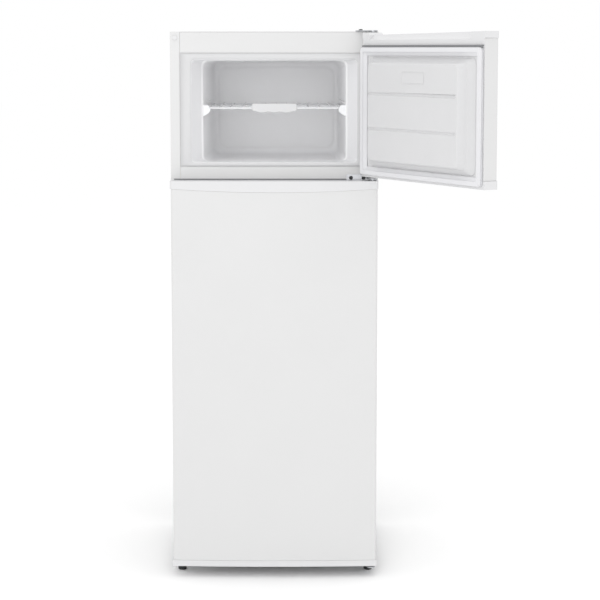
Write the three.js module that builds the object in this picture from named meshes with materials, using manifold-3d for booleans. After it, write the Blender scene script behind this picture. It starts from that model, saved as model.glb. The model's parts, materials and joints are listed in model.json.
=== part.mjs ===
// Top freezer refrigerator, free standing, with its freezer door standing open and its fridge door shut.
// Millimetres. X runs to the right, Y from the front to the back, Z up. The pieces are laid out with X = 0
// on the centre line, Y = 0 on the front of the cabinet and Z = 0 on the floor, and the whole is moved at
// the end so that its origin is the bottom centre of its box.
import * as THREE from "three";
import { mergeVertices } from "three/addons/utils/BufferGeometryUtils.js";
import Module from "manifold-3d";

const wasm = await Module();
wasm.setup();

// ---------------------------------------------------------------- driving dimensions
const WIDTH = 540;
const HEIGHT = 1434; // floor to the top of the cabinet
const DEPTH = 505; // cabinet alone, front flange to back panel
const GROUND = 32; // under the cabinet
const SHEET = 1; // folded steel
const LINER = 2; // vacuum-formed plastic
const GAP = 0.3; // between pieces that touch
const WALL = 55; // side wall, steel to liner
const BACK_WALL = 75;
const CEILING = 72;
const MULLION = 79; // between the two compartments
const FLOOR_WALL = 80;
const FREEZER_OPENING = 267;
const POST = 25; // front return of the side sheets
const LINER_FLANGE = 14; // least width of a liner's front flange, above and below its opening

// doors
const GASKET = 12; // depth, door to cabinet
const GASKET_WIDTH = 22;
const GASKET_INSET = 14; // from the side of the door to the gasket
const DOOR_EDGE = 40; // thickness at the side of a door
const DOOR_BULGE = 8; // extra thickness in the middle
const DOOR_CORNER = 7;
const PANEL_INSET = 2.5; // steel panel in from the end caps
const DOOR_BOTTOM = 30;
const DOOR_GAP = 11; // between the two doors
const TOP_STEP = 3; // freezer door's top below the cabinet's
const PLAIN_CAP = 16;
const GRIP_CAP = 20; // at its ends
const GRIP_SAG = 9; // how much deeper the grip cap is in the middle
const CAP_WALL = 2.5;
const CAP_COVE = 32; // height of the freezer door's top cap on its inner side
const FREEZER_DOOR_OPEN = 120; // degrees

// hinges
const PIVOT_INSET = 15; // pin to the side of the cabinet
const PIVOT_DEPTH = 23; // pin to the inner face of the doors
const PIN_RADIUS = 4;
const LEAF = 3; // hinge plate thickness
const SCREW_SHANK = 2;
const SCREW_HEAD = 5;

// inside
const HUMP_HEIGHT = 188; // over the compressor, from the fridge floor
const HUMP_COVER = 35; // how far the hump comes forward of the compressor bay
const BAY_DEPTH = 160;
const BAY_HEIGHT = 236; // from the underside of the cabinet
const FREEZER_SHELF_RISE = 140; // over the freezer's floor
const SHELF_GLASS = 4;
const SHELF_FRONT = 100; // shelves start this far behind the front
const LEDGE = 12;
const COMPRESSOR_RADIUS = 70;
const COMPRESSOR_HEIGHT = 160;
const COMPRESSOR_SIDE = -60; // its axis, from the centre line
const COMPRESSOR_BEHIND = 83; // its axis, from the front of the bay
const COMPRESSOR_SEAT = 16; // over the underside of the cabinet
const TUBE_RADIUS = 2.5;
const PASS_SPACING = 72; // condenser
const CONDENSER_STANDOFF = 22;

// ---------------------------------------------------------------- places worked out from them
const HALF = WIDTH / 2;
const OPENING_HALF = HALF - WALL;
const FREEZER_TOP = HEIGHT - CEILING;
const FREEZER_FLOOR = FREEZER_TOP - FREEZER_OPENING;
const FRIDGE_TOP = FREEZER_FLOOR - MULLION;
const FRIDGE_FLOOR = GROUND + FLOOR_WALL;
const INNER_BACK = DEPTH - BACK_WALL;
const TOP_RAIL_BOTTOM = FREEZER_TOP + LINER_FLANGE + 3;
const MID_RAIL_TOP = FREEZER_FLOOR - LINER_FLANGE + 4;
const MID_RAIL_BOTTOM = FRIDGE_TOP + LINER_FLANGE + 2;
const BOTTOM_RAIL_TOP = FRIDGE_FLOOR - LINER_FLANGE - 2;
const SPLIT = FREEZER_FLOOR - MULLION / 2; // middle of the middle hinge
const FRIDGE_DOOR_TOP = SPLIT - DOOR_GAP / 2;
const FREEZER_DOOR_BOTTOM = SPLIT + DOOR_GAP / 2;
const FREEZER_DOOR_TOP = HEIGHT - TOP_STEP;
const DOOR_BACK = -GASKET;
const DOOR_SIDE_FRONT = DOOR_BACK - DOOR_EDGE;
const PIVOT_X = HALF - PIVOT_INSET;
const PIVOT_Y = DOOR_BACK - PIVOT_DEPTH;
const BAY_FRONT = DEPTH - BAY_DEPTH;
const BAY_ROOF = GROUND + BAY_HEIGHT;
const HUMP_TOP = FRIDGE_FLOOR + HUMP_HEIGHT;
const HUMP_FRONT = BAY_FRONT - HUMP_COVER;
const COMPRESSOR = {
  x: COMPRESSOR_SIDE,
  y: BAY_FRONT + COMPRESSOR_BEHIND,
  z: GROUND + COMPRESSOR_SEAT,
};
const COMPRESSOR_TOP = COMPRESSOR.z + COMPRESSOR_HEIGHT;

// ---------------------------------------------------------------- materials
const steelWhite = { color: 0xe9eaec, roughness: 0.35, metalness: 0 };
const linerWhite = { color: 0xe4e5e8, roughness: 0.45, metalness: 0 };
const capWhite = { color: 0xdfe0e3, roughness: 0.4, metalness: 0 };
const gasketGrey = { color: 0xd4d5d8, roughness: 0.6, metalness: 0 };
const zincSteel = { color: 0xb9bcc0, roughness: 0.35, metalness: 1 };
const blackSteel = { color: 0x1e1f21, roughness: 0.5, metalness: 0 };
const blackPlastic = { color: 0x26272a, roughness: 0.5, metalness: 0 };
const clearPlastic = { color: 0xdfe8ec, roughness: 0.15, metalness: 0 };
const glass = { color: 0xd8e6e2, roughness: 0.05, metalness: 0 };
const foamYellow = { color: 0xe3d3a0, roughness: 0.9, metalness: 0 };
const aluminium = { color: 0xc8cacd, roughness: 0.4, metalness: 1 };
const copper = { color: 0xb87750, roughness: 0.35, metalness: 1 };
const wireWhite = { color: 0xeeeff1, roughness: 0.4, metalness: 0 };

// ---------------------------------------------------------------- small tools
function solid(geometry) {
  geometry.deleteAttribute("normal");
  geometry.deleteAttribute("uv");
  const merged = mergeVertices(geometry, 1e-4);
  return new wasm.Manifold(
    new wasm.Mesh({
      numProp: 3,
      vertProperties: new Float32Array(merged.attributes.position.array),
      triVerts: new Uint32Array(merged.index.array),
    }),
  );
}

function box(x0, x1, y0, y1, z0, z1) {
  const geometry = new THREE.BoxGeometry(x1 - x0, y1 - y0, z1 - z0);
  geometry.translate((x0 + x1) / 2, (y0 + y1) / 2, (z0 + z1) / 2);
  return solid(geometry);
}

// A round bar from one point to another.
function bar(from, to, radius, sides = 12) {
  const a = new THREE.Vector3(...from);
  const b = new THREE.Vector3(...to);
  const along = b.clone().sub(a);
  const geometry = new THREE.CylinderGeometry(radius, radius, along.length(), sides);
  const turn = new THREE.Quaternion().setFromUnitVectors(
    new THREE.Vector3(0, 1, 0),
    along.clone().normalize(),
  );
  geometry.applyQuaternion(turn);
  geometry.translate((a.x + b.x) / 2, (a.y + b.y) / 2, (a.z + b.z) / 2);
  return solid(geometry);
}

// A turned piece about a vertical axis: profile points are [radius, height].
function turned(profile, x, y, z, sides = 24) {
  const points = profile.map(([r, h]) => new THREE.Vector2(r, h));
  const geometry = new THREE.LatheGeometry(points, sides);
  geometry.rotateX(Math.PI / 2);
  geometry.translate(x, y, z);
  return solid(geometry);
}

// A shape drawn in X and Y, standing from z0 to z1.
function upright(shape, z0, z1, curveSegments = 12) {
  const geometry = new THREE.ExtrudeGeometry(shape, {
    depth: z1 - z0,
    bevelEnabled: false,
    curveSegments,
  });
  geometry.translate(0, 0, z0);
  return solid(geometry);
}

// A shape drawn in X and Z, running from y0 back to y1.
function through(shape, y0, y1, curveSegments = 12) {
  const geometry = new THREE.ExtrudeGeometry(shape, {
    depth: y1 - y0,
    bevelEnabled: false,
    curveSegments,
  });
  geometry.rotateX(Math.PI / 2);
  geometry.translate(0, y1, 0);
  return solid(geometry);
}

// A shape drawn in Y and Z, running from x0 across to x1.
function across(shape, x0, x1) {
  const geometry = new THREE.ExtrudeGeometry(shape, {
    depth: x1 - x0,
    bevelEnabled: false,
    curveSegments: 6,
  });
  geometry.applyMatrix4(new THREE.Matrix4().makeBasis(
    new THREE.Vector3(0, 1, 0),
    new THREE.Vector3(0, 0, 1),
    new THREE.Vector3(1, 0, 0),
  ));
  geometry.translate(x0, 0, 0);
  return solid(geometry);
}

function outline(points) {
  return new THREE.Shape(points.map(([a, b]) => new THREE.Vector2(a, b)));
}

// A folded sheet in Y and Z: the path is its outer line, and the sheet lies to the left of it.
function folded(path, thickness, x0, x1) {
  const inner = path.map(([y, z], i) => {
    const before = path[Math.max(i - 1, 0)];
    const after = path[Math.min(i + 1, path.length - 1)];
    const into = unit(y - before[0], z - before[1]) || unit(after[0] - y, after[1] - z);
    const out = unit(after[0] - y, after[1] - z) || into;
    const turnsSame = into[0] * out[0] + into[1] * out[1] > 0.5;
    const dy = turnsSame ? -into[1] : -into[1] - out[1];
    const dz = turnsSame ? into[0] : into[0] + out[0];
    return [y + dy * thickness, z + dz * thickness];
  });
  return across(outline([...path, ...inner.reverse()]), x0, x1);
}

function unit(a, b) {
  const length = Math.hypot(a, b);
  return length > 0 ? [a / length, b / length] : null;
}

function tube(points, radius, sides, steps, tension = 0.5) {
  const curve = new THREE.CatmullRomCurve3(
    points.map((p) => new THREE.Vector3(...p)),
    false,
    "catmullrom",
    tension,
  );
  const section = new THREE.Shape();
  for (let i = 0; i < sides; i += 1) {
    const angle = (2 * Math.PI * i) / sides;
    const corner = [radius * Math.cos(angle), radius * Math.sin(angle)];
    if (i === 0) section.moveTo(...corner);
    else section.lineTo(...corner);
  }
  return solid(new THREE.ExtrudeGeometry(section, { steps, extrudePath: curve, bevelEnabled: false }));
}

const CORNER_STEPS = 4;

// The corner points of a rounded rectangle in X and Z, anticlockwise as seen from the front.
function roundedRectangle({ half, bottom, top, radius }) {
  const centres = [
    [half - radius, bottom + radius, -Math.PI / 2],
    [half - radius, top - radius, 0],
    [-half + radius, top - radius, Math.PI / 2],
    [-half + radius, bottom + radius, Math.PI],
  ];
  return centres.flatMap(([cx, cz, start]) =>
    Array.from({ length: CORNER_STEPS + 1 }, (_, i) => {
      const angle = start + ((Math.PI / 2) * i) / CORNER_STEPS;
      return [cx + radius * Math.cos(angle), cz + radius * Math.sin(angle)];
    }),
  );
}

// A solid that passes through rounded rectangles, each { y, half, bottom, top, radius }.
function loft(sections) {
  const rings = sections.map((s) => roundedRectangle(s).map(([x, z]) => [x, s.y, z]));
  const count = rings[0].length;
  const index = [];
  for (let s = 0; s < rings.length - 1; s += 1) {
    for (let i = 0; i < count; i += 1) {
      const next = (i + 1) % count;
      const p = s * count + i;
      const p2 = s * count + next;
      index.push(p, p + count, p2, p2, p + count, p2 + count);
    }
  }
  const last = (rings.length - 1) * count;
  for (let i = 1; i < count - 1; i += 1) {
    index.push(0, i, i + 1, last, last + i + 1, last + i);
  }
  const geometry = new THREE.BufferGeometry();
  geometry.setAttribute("position", new THREE.Float32BufferAttribute(rings.flat(2), 3));
  geometry.setIndex(index);
  return solid(geometry);
}

// The same sections, larger by a margin to the sides and by another at the two ends.
function grown(sections, margin, frontMargin = 0, backMargin = margin) {
  return sections.map((s, i) => ({
    y: s.y - (i === 0 ? frontMargin : 0) + (i === sections.length - 1 ? backMargin : 0),
    half: s.half + margin,
    bottom: s.bottom - margin,
    top: s.top + margin,
    radius: Math.max(s.radius + margin, 0.5),
  }));
}

function union(...solids) {
  return solids.reduce((a, b) => a.add(b));
}

function cut(from, ...tools) {
  return tools.reduce((a, b) => a.subtract(b), from);
}

const cabinet = new THREE.Group();

function piece(name, shape, look, parent = cabinet) {
  const made = shape.getMesh();
  const geometry = new THREE.BufferGeometry();
  geometry.setAttribute("position", new THREE.BufferAttribute(new Float32Array(made.vertProperties), 3));
  geometry.setIndex(new THREE.BufferAttribute(new Uint32Array(made.triVerts), 1));
  geometry.computeVertexNormals();
  const mesh = new THREE.Mesh(geometry, new THREE.MeshStandardMaterial(look));
  mesh.name = name;
  parent.add(mesh);
  return mesh;
}

// A rectangular ring in X and Z, standing from y0 to y1.
function ring(half, bottom, top, width, y0, y1) {
  return cut(
    box(-half, half, y0, y1, bottom, top),
    box(-half + width, half - width, y0 - 1, y1 + 1, bottom + width, top - width),
  );
}

// An open-topped tray with walls and a floor of one thickness.
function tray(x0, x1, y0, y1, z0, z1, wall) {
  return cut(
    box(x0, x1, y0, y1, z0, z1),
    box(x0 + wall, x1 - wall, y0 + wall, y1 - wall, z0 + wall, z1 + 1),
  );
}

// ---------------------------------------------------------------- liners, as lofts from front to back
const freezerRoom = [
  { y: 0, half: OPENING_HALF, bottom: FREEZER_FLOOR, top: FREEZER_TOP, radius: 10 },
  { y: 46, half: OPENING_HALF - 20, bottom: FREEZER_FLOOR, top: FREEZER_TOP, radius: 16 },
  { y: 50, half: OPENING_HALF - 23, bottom: FREEZER_FLOOR - 1, top: FREEZER_TOP - 2, radius: 18 },
  { y: INNER_BACK, half: OPENING_HALF - 34, bottom: FREEZER_FLOOR - 3, top: FREEZER_TOP - 4, radius: 24 },
];
const fridgeRoom = [
  { y: 0, half: OPENING_HALF, bottom: FRIDGE_FLOOR, top: FRIDGE_TOP, radius: 10 },
  { y: 40, half: OPENING_HALF - 7, bottom: FRIDGE_FLOOR + 4, top: FRIDGE_TOP - 4, radius: 10 },
  { y: INNER_BACK, half: OPENING_HALF - 15, bottom: FRIDGE_FLOOR + 4, top: FRIDGE_TOP - 4, radius: 10 },
];

// Half the width of a room at a depth, between its sections.
function halfAt(room, y) {
  const i = Math.max(1, room.findIndex((s) => s.y >= y));
  const a = room[i - 1];
  const b = room[i];
  return a.half + ((b.half - a.half) * (y - a.y)) / (b.y - a.y);
}

const humpSpace = box(-HALF, HALF, HUMP_FRONT, DEPTH, 0, HUMP_TOP);
const humpInside = box(-HALF, HALF, HUMP_FRONT + LINER, DEPTH, 0, HUMP_TOP - LINER);
const humpFoam = box(-HALF, HALF, HUMP_FRONT + LINER + GAP, DEPTH, 0, HUMP_TOP - LINER - GAP);

// Ledges along both side walls, for shelves to rest on.
function ledges(room, z, height, y0, y1) {
  const reach = halfAt(room, y1) - LEDGE;
  return [-1, 1].map((side) => {
    const x = [side * reach, side * (HALF - 1)].sort((a, b) => a - b);
    return box(x[0], x[1], y0, y1, z - height, z);
  });
}

function linerFlange(bottom, top) {
  const half = HALF - POST - GAP;
  return box(-half, half, 0, LINER, bottom + GAP, top - GAP);
}

const freezerShelfZ = FREEZER_FLOOR + FREEZER_SHELF_RISE;
const WIRE = 3;
const freezerLedges = ledges(freezerRoom, freezerShelfZ - WIRE - GAP, 15, 92, INNER_BACK);
const freezerOuter = loft(grown(freezerRoom, LINER, 0));
const freezerShell = cut(
  union(linerFlange(MID_RAIL_TOP, TOP_RAIL_BOTTOM), freezerOuter),
  loft(grown(freezerRoom, 0, 1, 0)),
);
const freezerLiner = freezerLedges.reduce(
  (shell, ledge) => shell.add(ledge.intersect(freezerOuter)),
  freezerShell,
);

// heights of the fridge shelves, spread over the room above the crisper
const coverZ = HUMP_TOP + GAP;
const shelfPitch = (FRIDGE_TOP - coverZ) / 3.1;
const shelfHeights = [coverZ, coverZ + shelfPitch, coverZ + 2 * shelfPitch];
const fridgeOuter = cut(loft(grown(fridgeRoom, LINER, 0)), humpInside);
const fridgeShell = cut(
  union(linerFlange(BOTTOM_RAIL_TOP, MID_RAIL_BOTTOM), fridgeOuter),
  cut(loft(grown(fridgeRoom, 0, 1, 0)), humpSpace),
);
const fridgeLiner = shelfHeights
  .flatMap((z) => ledges(fridgeRoom, z - GAP, 8, SHELF_FRONT, INNER_BACK))
  .reduce((shell, ledge) => shell.add(ledge.intersect(fridgeOuter)), fridgeShell);

piece("freezer_liner", freezerLiner, linerWhite);
piece("fridge_liner", fridgeLiner, linerWhite);

// ---------------------------------------------------------------- steel shell and front rails
const hingeScrews = {
  top: [[PIVOT_X - 30, 22], [PIVOT_X - 30, 52]],
  middle: [PIVOT_X - 55, PIVOT_X - 22].map((x) => [x, SPLIT]),
};
const topScrewHoles = hingeScrews.top.map(([x, y]) =>
  bar([x, y, HEIGHT - 30], [x, y, HEIGHT + 10], SCREW_SHANK + GAP),
);
const middleScrewHoles = hingeScrews.middle.map(([x, z]) =>
  bar([x, -20, z], [x, 30, z], SCREW_SHANK + GAP),
);
const PLUG = { x: 12.5 - HALF, z: HEIGHT - 16, radius: 4 };
const plugHole = bar([PLUG.x, -5, PLUG.z], [PLUG.x, 14, PLUG.z], PLUG.radius + GAP);

const shellOuter = box(-HALF, HALF, 0, DEPTH, GROUND, HEIGHT);
const shellInner = box(-HALF + SHEET, HALF - SHEET, -1, DEPTH + 1, GROUND - 1, HEIGHT - SHEET);
const posts = [-1, 1].map((side) => {
  const x = [side * (HALF - POST), side * (HALF - SHEET / 2)].sort((a, b) => a - b);
  return box(x[0], x[1], 0, SHEET, GROUND, HEIGHT - SHEET / 2);
});
piece(
  "cabinet_shell",
  cut(union(cut(shellOuter, shellInner), ...posts), ...topScrewHoles, plugHole),
  steelWhite,
);

// A front rail: a channel with its flat face at the front, between the posts.
const RAIL_DEPTH = 14;
function rail(bottom, top) {
  const half = HALF - POST - GAP;
  const path = [
    [RAIL_DEPTH, bottom],
    [0, bottom],
    [0, top],
    [RAIL_DEPTH, top],
  ];
  return folded(path.reverse(), SHEET, -half, half);
}
const linerBehind = union(
  loft(grown(freezerRoom, LINER + GAP, 0)),
  cut(loft(grown(fridgeRoom, LINER + GAP, 0)), humpFoam),
);
piece("top_rail", rail(TOP_RAIL_BOTTOM, HEIGHT - SHEET - GAP), steelWhite);
piece("middle_rail", cut(rail(MID_RAIL_BOTTOM, MID_RAIL_TOP), ...middleScrewHoles), steelWhite);

const FOOT_STEM = 4;
const FOOT_X = HALF - 21;
const FOOT_Y = 26;
const footHoles = [-1, 1].map((side) =>
  bar([side * FOOT_X, FOOT_Y, -1], [side * FOOT_X, FOOT_Y, GROUND + 12], FOOT_STEM + GAP),
);
const baseHalf = HALF - SHEET - GAP;
const bottomRailLow = box(-baseHalf, baseHalf, SHEET + GAP, 60, GROUND, GROUND + 1.5);
const bottomRailFace = box(
  -(HALF - POST - GAP), HALF - POST - GAP, 0, 1.5, GROUND, BOTTOM_RAIL_TOP,
);
piece("bottom_rail", cut(union(bottomRailLow, bottomRailFace), ...footHoles), steelWhite);

// ---------------------------------------------------------------- base pan, back panel, foam
const basePanPath = [
  [2.2, GROUND + 24],
  [BAY_FRONT, GROUND + 24],
  [BAY_FRONT, BAY_ROOF],
  [DEPTH - 1.5, BAY_ROOF],
];
piece("base_pan", folded(basePanPath, SHEET, -baseHalf, baseHalf), zincSteel);
const BACK_SHEET = 1;
piece(
  "back_panel",
  box(-baseHalf, baseHalf, DEPTH - BACK_SHEET, DEPTH, BAY_ROOF + SHEET + GAP, HEIGHT - SHEET - GAP),
  zincSteel,
);

const foamFront = RAIL_DEPTH + GAP;
const foamBlock = cut(
  box(
    -baseHalf, baseHalf, foamFront, DEPTH - BACK_SHEET - GAP,
    GROUND + 24 + SHEET + GAP, HEIGHT - SHEET - GAP,
  ),
  box(-HALF, HALF, BAY_FRONT - SHEET - GAP, DEPTH, 0, BAY_ROOF + SHEET + GAP),
);
const EVAPORATOR = 1.5;
const evaporatorY = INNER_BACK + LINER + GAP;
const channelY = evaporatorY + EVAPORATOR;
const CHANNEL_RADIUS = 4;
function evaporatorSize(bottom, top) {
  return { half: OPENING_HALF - 60, bottom: bottom + 30, top: top - 30 };
}
// A roll-bonded plate with one raised channel that winds up its back.
function evaporator(name, { half, bottom, top }) {
  const passes = 5;
  const inset = 20;
  const rise = (top - bottom - 2 * inset) / (passes - 1);
  const channels = Array.from({ length: passes }, (_, i) => {
    const z = bottom + inset + i * rise;
    const level = bar([inset - half, channelY, z], [half - inset, channelY, z], CHANNEL_RADIUS, 8);
    const bend = [i % 2 === 0 ? half - inset : inset - half, channelY];
    return i < passes - 1 ? level.add(bar([...bend, z], [...bend, z + rise], CHANNEL_RADIUS, 8)) : level;
  });
  const plate = box(-half, half, evaporatorY, evaporatorY + EVAPORATOR, bottom, top);
  const behind = box(-HALF, HALF, evaporatorY, DEPTH, bottom, top);
  piece(name, plate.add(union(...channels).intersect(behind)), aluminium);
  return box(
    -half - GAP, half + GAP, evaporatorY - LINER, channelY + CHANNEL_RADIUS + GAP, bottom - GAP, top + GAP,
  );
}
const evaporatorSpaces = [
  evaporator("freezer_evaporator", evaporatorSize(FREEZER_FLOOR, FREEZER_TOP)),
  evaporator("fridge_evaporator", evaporatorSize(HUMP_TOP + 200, FRIDGE_TOP)),
];
piece(
  "cabinet_foam",
  cut(foamBlock, linerBehind, ...evaporatorSpaces, ...topScrewHoles, ...middleScrewHoles),
  foamYellow,
);

// ---------------------------------------------------------------- machinery at the back
const BASE_PLATE = 2;
piece(
  "compressor_base_plate",
  box(-baseHalf, baseHalf, BAY_FRONT + GAP, DEPTH - 8, GROUND, GROUND + BASE_PLATE),
  zincSteel,
);
const compressorCase = turned(
  [
    [0, 0], [42, 0], [60, 8], [COMPRESSOR_RADIUS - 2, 26], [COMPRESSOR_RADIUS - 2, 78],
    [COMPRESSOR_RADIUS, 79], [COMPRESSOR_RADIUS, 86], [COMPRESSOR_RADIUS - 4, 87],
    [COMPRESSOR_RADIUS - 6, 125], [52, 148], [30, 158], [0, 160],
  ],
  COMPRESSOR.x, COMPRESSOR.y, COMPRESSOR.z, 32,
);
const FOOT_PLATE = { x: 100, y: 60, thickness: 3 };
const MOUNT = { radius: 9, x: 86, y: 46 };
const compressorFeet = box(
  COMPRESSOR.x - FOOT_PLATE.x, COMPRESSOR.x + FOOT_PLATE.x,
  COMPRESSOR.y - FOOT_PLATE.y, COMPRESSOR.y + FOOT_PLATE.y,
  COMPRESSOR.z, COMPRESSOR.z + FOOT_PLATE.thickness,
);
const mounts = [-1, 1].flatMap((sx) => [-1, 1].map((sy) => {
  const [x, y] = [COMPRESSOR.x + sx * MOUNT.x, COMPRESSOR.y + sy * MOUNT.y];
  return bar([x, y, GROUND + BASE_PLATE + GAP], [x, y, COMPRESSOR.z + 1], MOUNT.radius, 12);
}));
piece("compressor", union(compressorCase, compressorFeet, ...mounts), blackSteel);
const terminalSpace = bar(
  [COMPRESSOR.x, COMPRESSOR.y, COMPRESSOR.z + 10],
  [COMPRESSOR.x, COMPRESSOR.y, COMPRESSOR_TOP],
  COMPRESSOR_RADIUS + GAP, 32,
);
const TERMINAL_DEPTH = 34;
const terminalX = COMPRESSOR.x + COMPRESSOR_RADIUS + TERMINAL_DEPTH;
piece(
  "terminal_cover",
  cut(
    box(
      COMPRESSOR.x + 60, terminalX, COMPRESSOR.y - 26, COMPRESSOR.y + 26,
      COMPRESSOR.z + 40, COMPRESSOR.z + 100,
    ),
    terminalSpace,
  ),
  blackPlastic,
);

const TRAY_Z = COMPRESSOR_TOP + GAP;
piece(
  "drip_tray",
  tray(
    COMPRESSOR.x - 95, COMPRESSOR.x + 95, COMPRESSOR.y - 62, COMPRESSOR.y + 62, TRAY_Z, TRAY_Z + 26, 2,
  ),
  blackPlastic,
);
const DRIER = { x: 150, y: DEPTH - 36, bottom: GROUND + 60, length: 120 };
const drierTop = DRIER.bottom + DRIER.length;
piece(
  "filter_drier",
  turned(
    [
      [0, 0], [3, 0], [3.5, 10], [10, 18],
      [10, DRIER.length - 18], [3.5, DRIER.length - 10], [3, DRIER.length], [0, DRIER.length],
    ],
    DRIER.x, DRIER.y, DRIER.bottom, 16,
  ),
  copper,
);

// The condenser: one tube from the compressor, up the left side, winding down the back and on to the
// drier.
const coilY = DEPTH + CONDENSER_STANDOFF;
const coilHalf = HALF - 42;
const coilTop = HEIGHT - 90;
const coilBottom = BAY_ROOF + 70;
const passes = 2 * Math.round((coilTop - coilBottom) / PASS_SPACING / 2) + 1;
const pitch = (coilTop - coilBottom) / (passes - 1);
const BEND = 24;
const winding = [
  [COMPRESSOR.x - COMPRESSOR_RADIUS - 2, COMPRESSOR.y + 8, COMPRESSOR.z + 120],
  [COMPRESSOR.x - COMPRESSOR_RADIUS - 40, COMPRESSOR.y + 20, COMPRESSOR.z + 128],
  [-coilHalf - 18, coilY - 26, BAY_ROOF - 30],
  [-coilHalf - 18, coilY, BAY_ROOF + 40],
  [-coilHalf - 18, coilY, coilTop - 30],
  [-coilHalf, coilY, coilTop],
];
for (let i = 0; i < passes; i += 1) {
  const z = coilTop - i * pitch;
  const side = i % 2 === 0 ? -1 : 1;
  winding.push([side * (coilHalf - BEND), coilY, z]);
  winding.push([-side * (coilHalf - BEND), coilY, z]);
  if (i < passes - 1) winding.push([-side * coilHalf, coilY, z - pitch / 2]);
}
winding.push(
  [coilHalf, coilY, coilBottom - 30],
  [coilHalf - 14, coilY - 10, BAY_ROOF - 10],
  [DRIER.x + 12, DRIER.y + 8, drierTop + 40],
  [DRIER.x, DRIER.y, drierTop + 24],
  [DRIER.x, DRIER.y, drierTop + 1],
);
const winder = tube(winding, TUBE_RADIUS, 6, winding.length * 4, 0.35);
const STRAP_HALF = 7;
const straps = [-0.62, 0, 0.62].map((share) =>
  box(
    share * coilHalf - STRAP_HALF, share * coilHalf + STRAP_HALF,
    coilY + TUBE_RADIUS - 0.8, coilY + TUBE_RADIUS + 0.8, coilBottom - 12, coilTop + 12,
  ),
);
const clips = [-0.62, 0.62].flatMap((share) => [coilBottom - 6, coilTop + 6].map((z) =>
  box(share * coilHalf - 5, share * coilHalf + 5, DEPTH + GAP, coilY + TUBE_RADIUS, z - 5, z + 5),
));
piece("condenser", union(winder, ...straps, ...clips), blackSteel);

piece(
  "lead_gland",
  union(
    bar([HALF - 60, DEPTH - 26, GROUND + BASE_PLATE + GAP], [HALF - 60, DEPTH - 26, GROUND + 40], 9, 16),
    box(HALF - 74, HALF - 46, DEPTH - 34, DEPTH - 18, GROUND + BASE_PLATE + GAP, GROUND + 16),
  ),
  blackPlastic,
);

// ---------------------------------------------------------------- feet
// A foot that screws up into the cabinet: a ribbed pad with a stem.
function levellingFoot(name, x) {
  const pad = turned([[0, 0], [10, 0], [11, 2], [11, 11], [8, 14], [0, 14]], x, FOOT_Y, 0, 18);
  const stem = bar([x, FOOT_Y, 10], [x, FOOT_Y, GROUND + 10], FOOT_STEM);
  piece(name, pad.add(stem), blackPlastic);
}
levellingFoot("front_foot_left", -FOOT_X);
levellingFoot("front_foot_right", FOOT_X);
[-1, 1].forEach((side) => {
  const x = side * (HALF - 40);
  const profile = [[0, 0], [17, 0], [19, 3], [15, GROUND - GAP], [0, GROUND - GAP]];
  const foot = turned(profile, x, DEPTH - 45, 0, 20);
  piece(side < 0 ? "rear_foot_left" : "rear_foot_right", foot, blackPlastic);
});

// ---------------------------------------------------------------- hinges
function pin(z0, z1) {
  return bar([PIVOT_X, PIVOT_Y, z0], [PIVOT_X, PIVOT_Y, z1], PIN_RADIUS, 16);
}
const PIN_REACH = 16;
const leafSide = HALF - 2;

// A hinge leaf seen from above: a plate with a round nose about the pin.
function leaf(back, inner) {
  const shape = new THREE.Shape();
  shape.moveTo(inner, back);
  shape.lineTo(inner, -2);
  shape.lineTo(PIVOT_X - 11, PIVOT_Y + 4);
  shape.absarc(PIVOT_X, PIVOT_Y, 11, Math.PI, 2 * Math.PI, false);
  shape.lineTo(leafSide, -2);
  shape.lineTo(leafSide, back);
  return shape;
}
const topLeafZ = HEIGHT + GAP;
piece(
  "top_hinge",
  cut(
    union(
      upright(leaf(70, PIVOT_X - 43), topLeafZ, topLeafZ + LEAF),
      pin(FREEZER_DOOR_TOP - PIN_REACH, topLeafZ + 1),
    ),
    ...topScrewHoles,
  ),
  blackSteel,
);
const middleLeafZ = SPLIT - LEAF / 2;
const FLANGE_DEPTH = 3;
const FLANGE_HALF = 9;
piece(
  "middle_hinge",
  cut(
    union(
      box(PIVOT_X - 67, leafSide, -GAP - FLANGE_DEPTH, -GAP, SPLIT - FLANGE_HALF, SPLIT + FLANGE_HALF),
      upright(leaf(-GAP - 1, PIVOT_X - 16), middleLeafZ, middleLeafZ + LEAF),
      pin(FRIDGE_DOOR_TOP - PIN_REACH, FREEZER_DOOR_BOTTOM + PIN_REACH),
    ),
    ...middleScrewHoles,
  ),
  zincSteel,
);
const bottomLeafZ = DOOR_BOTTOM - 5 - LEAF;
piece(
  "bottom_hinge",
  cut(
    union(
      upright(leaf(55, PIVOT_X - 40), bottomLeafZ, bottomLeafZ + LEAF),
      box(PIVOT_X - 40, leafSide, 6, 55, bottomLeafZ + 1, GROUND - GAP),
      pin(bottomLeafZ + 1, DOOR_BOTTOM + PIN_REACH),
    ),
    ...footHoles,
  ),
  zincSteel,
);

// A screw with a round head at the origin of its axis, pointing along -Z before it is turned.
function screw(turn, x, y, z) {
  const shape = turned(
    [[0, -14], [SCREW_SHANK, -14], [SCREW_SHANK, 0], [SCREW_HEAD, 0], [SCREW_HEAD - 1, 2.2], [0, 3]],
    0, 0, 0, 12,
  );
  return shape.rotate([turn, 0, 0]).translate([x, y, z]);
}
hingeScrews.top.forEach(([x, y], i) => {
  piece(`top_hinge_screw_${i + 1}`, screw(0, x, y, topLeafZ + LEAF + GAP), zincSteel);
});
hingeScrews.middle.forEach(([x, z], i) => {
  piece(`middle_hinge_screw_${i + 1}`, screw(90, x, -FLANGE_DEPTH - 2 * GAP, z), zincSteel);
});
piece(
  "hole_plug",
  union(
    bar([PLUG.x, -2.2, PLUG.z], [PLUG.x, -GAP, PLUG.z], PLUG.radius + 2, 16),
    bar([PLUG.x, -1, PLUG.z], [PLUG.x, 8, PLUG.z], PLUG.radius, 16),
  ),
  capWhite,
);

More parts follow.
